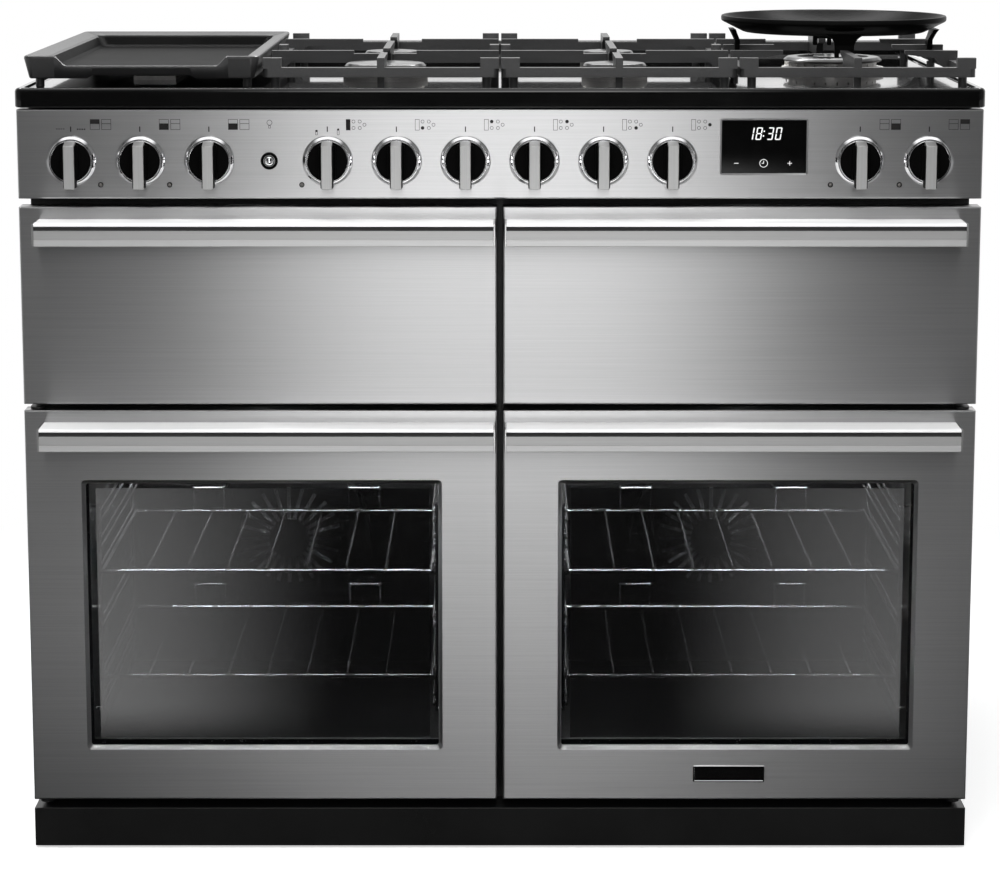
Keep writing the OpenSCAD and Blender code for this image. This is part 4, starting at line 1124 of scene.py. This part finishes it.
@dataclass
class Handle:
    """Full-width finger pull with a brushed face and a fine groove; its top band is painted near
    white as a highlight, the groove painted dark as shade, and the lower front painted lighter as
    light falling on it.
    """

    reach: float = 0.043
    height: float = 0.026
    drop: float = 0.014
    outer: float = 0.021
    inner: float = 0.002
    cap: float = 0.002
    # Depths below the top: the painted highlight ends at lip, the painted shade ends at groove, and
    # the lower painted light begins at step.
    lip: float = 0.0032
    groove: float = 0.0080
    step: float = 0.0184

    def build(self, name: str, side: Side, base: float, tall: float, body: str,
              node: str) -> None:
        """One handle.

        Args:
            name: The piece's name.
            side: The half of the front.
            base: The height of the front's lower edge.
            tall: The front's height.
            body: The body that carries it.
            node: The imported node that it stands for.
        """
        a, b = self.outer, PLAN.door_w - self.inner
        left = -PLAN.half_front
        x0, x1 = (left + a, left + b) if side is Side.LEFT else (-left - b, -left - a)
        top = base + tall - self.drop
        y = PLAN.y_front
        outline = [(0.0, 0.0), (-0.0395, 0.0), (-0.0412, -0.0005), (-0.0422, -0.0014),
                   (-0.0427, -0.0026), (-0.0427, -0.0034), (-0.0418, -0.0042), (-0.0418, -0.0070),
                   (-0.0426, -0.0076), (-0.0430, -0.0082), (-0.0430, -0.0182), (-0.0429, -0.0186),
                   (-0.0425, -0.0253), (-0.0419, -0.0260), (-0.0398, -0.0260),
                   (-0.0391, -0.0253), (-0.0390, -0.0048), (-0.0382, -0.0040), (0.0, -0.0040)]
        finishes = (HANDLE_FACE, HANDLE_END, HANDLE_TOP_HIGHLIGHT, HANDLE_LOW_LIT, GROOVE_SHADE)
        bm = bmesh.new()
        pull = add_prism(bm, [(y + dy, top + dz) for dy, dz in outline], x0 + self.cap,
                         x1 - self.cap)
        mark(pull, 0)
        bm.normal_update()
        for face in bm.faces:
            depth = top - face.calc_center_median().z
            front = face.normal.y < -0.5
            # Top band: painted highlight in near-white alloy.
            if depth < self.lip and (front or face.normal.z > 0.3):
                face.material_index = finishes.index(HANDLE_TOP_HIGHLIGHT)
            # Front faces in the groove: painted shade in near-black paint.
            elif depth < self.groove and face.normal.y < -0.1:
                face.material_index = finishes.index(GROOVE_SHADE)
            # Lower front: painted light in the lighter copy of the alloy.
            elif front and depth > self.step:
                face.material_index = finishes.index(HANDLE_LOW_LIT)
        for c0, c1 in ((x0, x0 + self.cap), (x1 - self.cap, x1)):
            end = add_box(bm, (c0, y - self.reach, top - self.height), (c1, y, top), 0.0003, 1)
            mark(end, 1)
        Piece(name, body, finishes, (node,), "handle_alloy", flat_over=6e-4).place(bm)


def door_skin(bm: BMesh, outer: Loop, window: Loop | None, pan: float,
              lip: float) -> None:
    """Folded sheet pan of a door or drawer front.

    Args:
        bm: The mesh.
        outer: The front's outline on the face plane.
        window: The opening for the glass, or None.
        pan: The pan's depth.
        lip: The width of the lip round its back.
    """
    t, y = 0.0015, outer.level
    back = y + pan
    shell = [outer.grown(-lip, back - t, 0.0006), outer.grown(-lip, back, 0.0006),
             outer.grown(0, back), outer.grown(0, y + 0.0020), outer.grown(-0.0003, y + 0.0010),
             outer.grown(-0.0010, y + 0.0003), outer.grown(-0.0020, y)]
    inside = [outer.grown(-t, y + t, 0.0006), outer.grown(-t, back - t, 0.0006)]
    if window is None:
        loft(bm, shell, Plane.FRONT, 3, (False, True))
        loft(bm, [shell[0]] + inside[::-1], Plane.FRONT, 3, (False, True))
        bmesh.ops.remove_doubles(bm, verts=bm.verts, dist=1e-6)
        return
    rim = [window.grown(0.0046, y, 0.0052), window.grown(0.0040, y + 0.0004, 0.0050),
           window.grown(0.0008, y + 0.0042, 0.0036), window.grown(0.0, y + 0.0046, 0.0034),
           window.grown(0.0, y + 0.0050, 0.0034), window.grown(0.0125, y + 0.0050, 0.004),
           window.grown(0.0135, y + t, 0.004)]
    loft(bm, shell + rim + inside, Plane.FRONT, 5, closed=True)


@dataclass
class OvenDoor:
    """Tall door with a pressed steel front, a double window and a handle."""

    side: Side
    window_w: float = 0.405
    window_h: float = 0.312
    lift: float = 0.065
    pan: float = 0.024
    glass_t: float = 0.004
    border: float = 0.0105

    def outer(self) -> Loop:
        """The door's outline."""
        left = -PLAN.half_front
        x0, x1 = left, left + PLAN.door_w
        if self.side is Side.RIGHT:
            x0, x1 = -x1, -x0
        return Loop(x0, x1, PLAN.z_door, PLAN.z_door + PLAN.oven_door_h, PLAN.y_front, 0.001)

    def window(self) -> Loop:
        """The window's opening."""
        o = self.outer()
        cx = (o.u0 + o.u1) / 2
        return Loop(cx - self.window_w / 2, cx + self.window_w / 2, o.v0 + self.lift,
                    o.v0 + self.lift + self.window_h, PLAN.y_front, 0.0034)

    def build(self) -> None:
        """Builds the door's pieces."""
        word = self.side.word
        body = word + "_door"
        bm = bmesh.new()
        door_skin(bm, self.outer(), self.window(), self.pan, 0.032)
        Piece(body + "_front", body, (STEEL,), (body + "_panel",), "steel").place(bm)
        self.build_glass(body)
        Piece(body + "_lining", body, (PAN_ENAMEL,), (body + "_inner",), "inner_enamel",
              recalculate=False).place(cad_mesh(body + "_inner", 0.0008))
        Handle().build(body + "_pull", self.side, PLAN.z_door, PLAN.oven_door_h, body,
                       body + "_handle")
        if self.side is Side.RIGHT:
            self.build_plate(body)

    def build_glass(self, body: str) -> None:
        """Outer pane, the smaller coated pane behind it, and the inner pane."""
        y = PLAN.y_front + 0.005
        w, t, inset = self.window(), self.glass_t, self.border
        for word, finish, y0, thick, by_u, by_v, width, node, slot in (
                ("outer", OUTER_GLASS, y, t, 0.010, 0.010, 0.0005, (body + "_glass",),
                 "door_glass"),
                ("coated", COATED_GLASS, y + t + 0.0002, 0.003, -inset, -inset * 0.7, 0.0, (), ""),
                ("inner", INNER_GLASS, PLAN.y_front + self.pan + 0.0003, t, 0.006, 0.006, 0.0005,
                 (), "")):
            bm = bmesh.new()
            add_box(bm, (w.u0 - by_u, y0, w.v0 - by_v), (w.u1 + by_u, y0 + thick, w.v1 + by_v),
                    width)
            Piece(f"{body}_{word}_pane", body, (finish,), node, slot).place(bm)

    def build_plate(self, body: str) -> None:
        """Small blank plate under the window: a bright rim round a black field."""
        bm = bmesh.new()
        y = PLAN.y_front
        edge = Loop(0.2250, 0.3085, 0.0807, 0.1004, y, 0.0010)
        rim = [edge.grown(0, y + 0.0001), edge.grown(0, y - 0.0010),
               edge.grown(-0.0004, y - 0.0014), edge.grown(-0.0014, y - 0.0014),
               edge.grown(-0.0018, y - 0.0010)]
        loft(bm, rim, Plane.FRONT, 4, (True, True))
        for face in bm.faces:
            if face.calc_center_median().y < y - 0.00095 and face.calc_area() > 5e-4:
                face.material_index = 1
        Piece("blank_plate", body, (CHROME, HOB_BLACK), (), "", flat_over=1e-4).place(bm)


@dataclass
class UpperFronts:
    """Grill door at the left and drawer front at the right."""

    pan: float = 0.024

    def build(self) -> None:
        """Builds both fronts with their handles."""
        left = -PLAN.half_front
        z0, z1 = PLAN.z_upper, PLAN.z_upper + PLAN.upper_h
        for side, x0, x1, body, node in (
                (Side.LEFT, left, left + PLAN.door_w, "grill_door", "grill_door_panel"),
                (Side.RIGHT, -left - PLAN.door_w, -left, "drawer", "drawer_front")):
            bm = bmesh.new()
            door_skin(bm, Loop(x0, x1, z0, z1, PLAN.y_front, 0.001), None, self.pan, 0.032)
            Piece(body + "_face", body, (STEEL,), (node,), "steel").place(bm)
            Handle().build(body + "_pull", side, z0, PLAN.upper_h, body, body + "_handle")
        Piece("grill_door_lining", "grill_door", (PAN_ENAMEL,), ("grill_door_inner",),
              "inner_enamel", recalculate=False).place(cad_mesh("grill_door_inner", 0.0008))


# Hob


@dataclass
class HobTop:
    """Pressed black hob with a rounded rim, a sunk deck and a low rear upstand."""

    corner: float = 0.008
    roll: float = 0.0045
    upstand_d: float = 0.024
    upstand_h: float = 0.018

    def rolled(self, outline: Loop, top: float, r: float) -> list[Loop]:
        """Loops that round an outline's upper edge up to a level, with a radius."""
        turns = [math.radians(18 * k) for k in range(6)]
        return [outline.grown(-r * (1 - math.cos(a)), top - r + r * math.sin(a)) for a in turns]

    def build(self) -> None:
        """Builds the top as one piece."""
        bm = bmesh.new()
        z0, z1 = PLAN.z_case, PLAN.z_hob
        rim = Loop(-PLAN.half_hob, PLAN.half_hob, PLAN.y_front, PLAN.y_back, z0, self.corner)
        loops = [rim.grown(-0.012, z0), rim.grown(-0.0012, z0), rim.grown(0, z0 + 0.0012)]
        loops += self.rolled(rim, z1, self.roll)
        deck = Loop(rim.u0 + 0.008, rim.u1 - 0.008, rim.v0 + 0.007,
                    rim.v1 - self.upstand_d - 0.005, z1, 0.012)
        loops += [deck.grown(-0.0006, z1 - 0.0003), deck.grown(-0.0026, z1 - 0.0027),
                  deck.grown(-0.0034, PLAN.z_deck)]
        loft(bm, loops, Plane.TOP, 6)
        back = Loop(-PLAN.half_hob + 0.005, PLAN.half_hob - 0.005, PLAN.y_back - self.upstand_d,
                    PLAN.y_back - 0.0002, z1, 0.003)
        up = [back.grown(0, z1 - 0.001)] + self.rolled(back, z1 + self.upstand_h, 0.005)
        loft(bm, up, Plane.TOP, 4)
        Piece("hob_enamel_top", "cabinet", (HOB_BLACK,), ("hob_top",), "hob_enamel").place(bm)


@dataclass
class Burners:
    """Burner caps and the spark electrodes beside the burners."""

    spots: tuple = ((-0.1355, 0.178, 0.050), (-0.1355, 0.405, 0.036), (0.1355, 0.178, 0.039),
                    (0.1355, 0.405, 0.034), (0.4065, 0.2915, 0.062))

    def build(self) -> None:
        """Builds the caps and the electrodes."""
        Piece("burner_cap_set", "cabinet", (CAP_BLACK,), ("burner_caps",), "burner_enamel",
              recalculate=False).place(cad_mesh("burner_caps", 0.0008, 3, 28.0))
        bm = bmesh.new()
        for x, back, r in self.spots:
            for turn, tall in ((40, 0.0165), (140, 0.0150)):
                a = math.radians(turn)
                d = r + 0.0055
                cx, cy = x + d * math.cos(a), PLAN.y_front + back + d * math.sin(a)
                post = add_spun(bm, [(0.0, 0.0), (0.0034, 0.0), (0.0034, 0.0060), (0.0026, 0.0068),
                                     (0.0026, tall - 0.0045), (0.0020, tall - 0.0035),
                                     (0.0, tall - 0.0035)], (cx, cy, PLAN.z_deck), "Z", 20)
                mark(post, 0)
                tip = add_spun(bm, [(0.0, tall - 0.004), (0.0008, tall - 0.004),
                                    (0.0008, tall - 0.0004), (0.0, tall)],
                               (cx, cy, PLAN.z_deck), "Z", 12)
                mark(tip, 1)
        Piece("spark_electrodes", "cabinet", (CERAMIC, SHEET), (), "",
              recalculate=False).place(bm)


@dataclass
class IronWork:
    """Griddle, pan supports and wok ring."""

    griddle_w: float = 0.268
    griddle_x: float = -0.4065
    griddle_y: tuple = (-0.2525, 0.2375)
    griddle_z: float = 0.898
    griddle_h: float = 0.026
    lip_half: float = 0.0985
    lip_slope: float = 0.0135
    lip_drop: float = 0.0108
    ring_x: float = 0.4065
    ring_y: float = 0.0090
    ring_z: float = 0.921

    def build(self) -> None:
        """Builds every casting."""
        self.build_griddle()
        for word in ("left", "centre", "right"):
            node = "pan_support_" + word
            Piece(node + "_casting", word + "_support", (IRON,), (node,), "iron",
                  recalculate=False).place(cad_mesh(node, 0.0020, 3, 30.0))
        self.build_ring()

    def build_griddle(self) -> None:
        """Cast tray with leaning walls, a scooped front lip and a raised underside."""
        bm = bmesh.new()
        x, w = self.griddle_x, self.griddle_w / 2
        z, top = self.griddle_z, self.griddle_z + self.griddle_h
        edge = Loop(x - w, x + w, self.griddle_y[0], self.griddle_y[1], top, 0.010)
        loft(bm, [edge.grown(-0.0075, z), edge.grown(-0.0060, z + 0.0012),
                  edge.grown(-0.0006, top - 0.0030), edge.grown(-0.0008, top - 0.0010),
                  edge.grown(-0.0022, top), edge.grown(-0.0040, top - 0.0004),
                  edge.grown(-0.0185, top - 0.0042, 0.010),
                  edge.grown(-0.0212, top - 0.0062, 0.010),
                  edge.grown(-0.0262, z + 0.0105, 0.012), edge.grown(-0.0300, z + 0.0080, 0.014)],
             Plane.TOP, 6)
        front = self.griddle_y[0] + 0.034
        for cut in (self.lip_half, 0.0955, 0.0920, 0.0885, 0.0850, 0.062, 0.056):
            for side in (-1, 1):
                bmesh.ops.bisect_plane(bm, geom=bm.verts[:] + bm.edges[:] + bm.faces[:], dist=1e-7,
                                       plane_co=(x + side * cut, 0, 0), plane_no=(1, 0, 0))
        for v in bm.verts:
            if v.co.y > front:
                continue
            off = abs(v.co.x - x)
            if v.co.z > z + 0.010:
                t = min(1.0, max(0.0, (self.lip_half - off) / self.lip_slope))
                ease = t * t * (3 - 2 * t)
                v.co.z -= self.lip_drop * ease * min(1.0, (v.co.z - z - 0.010) / 0.010)
            elif v.co.z < z + 0.002 and off < 0.0595:
                v.co.z += 0.0035
        for sx in (-1, 1):
            for y in (self.griddle_y[0] + 0.024, self.griddle_y[1] - 0.024):
                add_spun(bm, [(0.0, 0.0), (0.0042, 0.0), (0.0050, 0.0010), (0.0050, 0.0125),
                              (0.0, 0.0125)], (x + sx * (w - 0.016), y, z - 0.011), "Z", 24)
        bm.normal_update()
        # Upward faces inside the walls take the darker iron: painted shade of the tray's hollow.
        for face in bm.faces:
            at = face.calc_center_median()
            inside = abs(at.x - x) < w - 0.0215 and abs(at.y) < self.griddle_y[1] - 0.019
            if inside and face.normal.z > 0.02 and at.z > z + 0.004:
                face.material_index = 1
        Piece("griddle_casting", "griddle", (IRON, TRAY_IRON_SHADED), ("griddle_plate",), "iron",
              recalculate=False).place(bm)

    def build_ring(self) -> None:
        """Smooth cone on four flat legs, each with a fork over a finger of the support."""
        centre = (self.ring_x, self.ring_y, self.ring_z)
        bm = bmesh.new()
        cone = [(0.1025, 0.0168), (0.1040, 0.0160), (0.1085, 0.0160), (0.1110, 0.0168),
                (0.1350, 0.0288), (0.1362, 0.0300), (0.1365, 0.0315), (0.1365, 0.0340),
                (0.1358, 0.0355), (0.1342, 0.0360), (0.1325, 0.0357), (0.1310, 0.0348),
                (0.1262, 0.0308), (0.1028, 0.0182), (0.1025, 0.0168)]
        add_spun(bm, cone, centre, "Z", 128)
        body = ((0.0003, 0.0110), (0.0010, 0.0116), (0.0060, 0.0118), (0.0100, 0.0128),
                (0.0130, 0.0146), (0.0155, 0.0172), (0.0175, 0.0205), (0.0195, 0.0235))
        for turn in range(4):
            leg = bmesh.new()
            near, far, round_off = 0.1143, 0.1203, 0.0012
            loops = []
            for h, half in body:
                lean = max(0.0, h - 0.006) * 0.45
                loops.append(Loop(near + lean, far + lean, -half, half, h, round_off))
            loft(leg, loops, Plane.TOP, 3)
            for side in (-1, 1):
                low, high = sorted((side * 0.0062, side * 0.0116))
                prong = Loop(near, far, low, high, 0.0010, round_off)
                loft(leg, [prong.grown(-0.0008, -0.0080), prong.grown(0.0, -0.0070), prong],
                     Plane.TOP, 3)
            quarter = Matrix.Rotation(turn * math.pi / 2, 3, "Z")
            bmesh.ops.rotate(leg, cent=(0, 0, 0), matrix=quarter, verts=leg.verts)
            bmesh.ops.translate(leg, vec=centre, verts=leg.verts)
            absorb(bm, leg)
        Piece("wok_ring_casting", "wok_ring_body", (RING_IRON,), ("wok_ring",), "iron",
              recalculate=False).place(bm)


# Studio


@dataclass
class Studio:
    """Floor, world, lamps and camera."""

    distance: float = 3.2
    height: float = 1.135
    pitch: float = 9.14
    lens: float = 102.6
    shift: float = -0.12
    sweep: float = 4.8
    panel: float = 4.0
    pane_loss: float = 0.96

    def build(self) -> None:
        """Builds the studio."""
        self.build_camera()
        self.build_floor()
        self.build_world()
        self.build_lamps()
        bpy.context.scene.view_settings.view_transform = "Standard"

    def build_camera(self) -> None:
        """Long lens in front of the middle, looking slightly down."""
        data = bpy.data.cameras.new("camera")
        data.lens = self.lens
        data.sensor_width = 36.0
        data.shift_y = self.shift
        data.clip_start = 0.05
        camera = bpy.data.objects.new("camera", data)
        bpy.context.scene.collection.objects.link(camera)
        camera.location = (0.0, PLAN.y_front - self.distance, self.height)
        camera.rotation_euler = (math.radians(90 - self.pitch), 0.0, 0.0)
        bpy.context.scene.camera = camera

    def build_floor(self) -> None:
        """Pale floor: white to the camera with the cooker's shadow, and shaped light to gloss."""
        bm = bmesh.new()
        bmesh.ops.create_grid(bm, x_segments=1, y_segments=1, size=40.0)
        mesh = bpy.data.meshes.new("floor")
        bm.to_mesh(mesh)
        bm.free()
        floor = bpy.data.objects.new("floor", mesh)
        bpy.context.scene.collection.objects.link(floor)
        material = bpy.data.materials.new("studio_floor")
        material.use_nodes = True
        s = Shader(material.node_tree)
        x, y, _ = s.axes()
        mottle = s.noise(2.0, 3.0)
        matt = s.add("BsdfDiffuse", Color=s.mix(mottle, (0.80, 0.80, 0.80), (0.82, 0.82, 0.82)))
        lift = s.add("Emission", Color=WHITE, Strength=0.55)
        near = s.add("AddShader")
        s.feed(near.inputs[0], matt.outputs[0])
        s.feed(near.inputs[1], lift.outputs[0])
        white = s.add("Emission", Color=WHITE, Strength=1.0)
        away = (x * x + y * y) ** 0.5
        seen = s.blend(away.ramp(0.9, 1.6), near, white)
        # What glossy surfaces see: a grey strip before the doors, a bright sweep further out
        # that the upper fronts show, white behind, and some light for views from the side.
        angle = x.size() * ((2.92 - y) ** -1.0)
        strip = y.ramp(-3.0, -2.1) * y.ramp(-0.62, -0.86)
        uneven = x.ramp(0.0, 0.9) * -0.3 + 1.0
        sides = angle.ramp(0.056, 0.147) * (y * 0.10 + 0.50) * strip * uneven + 0.009
        sweep = angle.ramp(0.119, 0.045) * y.ramp(-2.3, -2.8) * y.ramp(-8.5, -6.5) * self.sweep
        behind = y.ramp(0.0, 0.4)
        wide = angle.ramp(0.28, 0.50) * y.ramp(0.0, -0.7) * 0.45
        clear = 1.0 - s.past_panes() * self.pane_loss
        level = sides + wide + sweep * clear + behind * (1.0 - sides)
        mirrored = s.add("Emission", Color=WHITE, Strength=level)
        plain = s.blend(s.ray("Is Camera Ray"), matt, seen)
        gloss = s.blend(s.ray("Is Glossy Ray"), plain, mirrored)
        s.add("OutputMaterial", Surface=gloss.outputs[0])
        mesh.materials.append(material)

    def build_world(self) -> None:
        """White to the camera; to gloss, white behind, dark in front and a soft panel there."""
        world = bpy.data.worlds.new("studio")
        world.use_nodes = True
        bpy.context.scene.world = world
        s = Shader(world.node_tree)
        x, y, z = s.axes("Generated")
        behind = y.ramp(-0.05, 0.35) * z.ramp(0.85, 0.45)
        sides = x.size().ramp(0.35, 0.85) * 0.15
        clear = 1.0 - s.past_panes() * self.pane_loss
        tall = z.ramp(0.03, 0.12) * z.ramp(0.85, 0.6)
        panel = clear * x.size().ramp(0.108, 0.03) * tall * y.ramp(0.05, -0.2)
        level = behind + sides + panel * self.panel + z.ramp(0.7, 0.92) * 1.25 + 0.04
        mirror = s.ray("Is Glossy Ray")
        plain = (s.ray("Is Camera Ray") + s.ray("Is Transmission Ray")).least(1.0)
        soft = (1.0 - mirror) * 0.4
        strength = plain + (1.0 - plain) * (mirror * level + soft)
        shown = s.add("Background", Color=WHITE, Strength=strength)
        s.add("OutputWorld", Surface=shown.outputs[0])

    def lamp(self, name: str, place: tuple, target: tuple, size: tuple, power: float,
             mirrored: bool) -> Object:
        """Adds one soft lamp.

        Args:
            name: Its name.
            place: Where it stands.
            target: What it points at.
            size: Its width and height.
            power: Its power in watts.
            mirrored: Whether glossy surfaces show it.

        Returns:
            The lamp.
        """
        data = bpy.data.lights.new(name, "AREA")
        data.shape = "RECTANGLE"
        data.size, data.size_y = size
        data.energy = power
        lamp = bpy.data.objects.new(name, data)
        bpy.context.scene.collection.objects.link(lamp)
        lamp.location = place
        aim = Vector(target) - Vector(place)
        lamp.rotation_mode = "QUATERNION"
        lamp.rotation_quaternion = aim.to_track_quat("-Z", "Y")
        lamp.visible_camera = False
        lamp.visible_glossy = mirrored
        return lamp

    def build_lamps(self) -> None:
        """A broad key above, a fill in front, and lights that only edges and wires show."""
        self.lamp("key", (-0.3, -0.9, 3.0), (0, 0, 0.8), (2.6, 1.2), 90.0, False)
        self.lamp("fill", (0.0, -3.6, 1.8), (0, 0, 0.5), (3.0, 1.6), 16.0, False)
        edge = self.lamp("edge_light", (0.0, 1.1, 2.6), (0, 0, 0.9), (2.4, 0.4), 90.0, True)
        edge.visible_diffuse = False
        for side in Side:
            x = side.value * PLAN.bay_x
            lamp = self.lamp("oven_light_" + side.word, (x, -0.222, 0.455), (x, -0.05, 0.2),
                             (0.38, 0.03), 2.6, True)
            lamp.visible_diffuse = False


def main() -> None:
    """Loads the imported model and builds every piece."""
    logging.basicConfig(level=logging.INFO, format="%(name)s: %(message)s")
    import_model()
    Studio().build()
    carcass = Carcass()
    carcass.dress_nodes()
    carcass.rounded()
    ControlPanel().build()
    Knob().build()
    for side in Side:
        OvenDoor(side).build()
    UpperFronts().build()
    HobTop().build()
    Burners().build()
    IronWork().build()


if __name__ == "__main__":
    main()
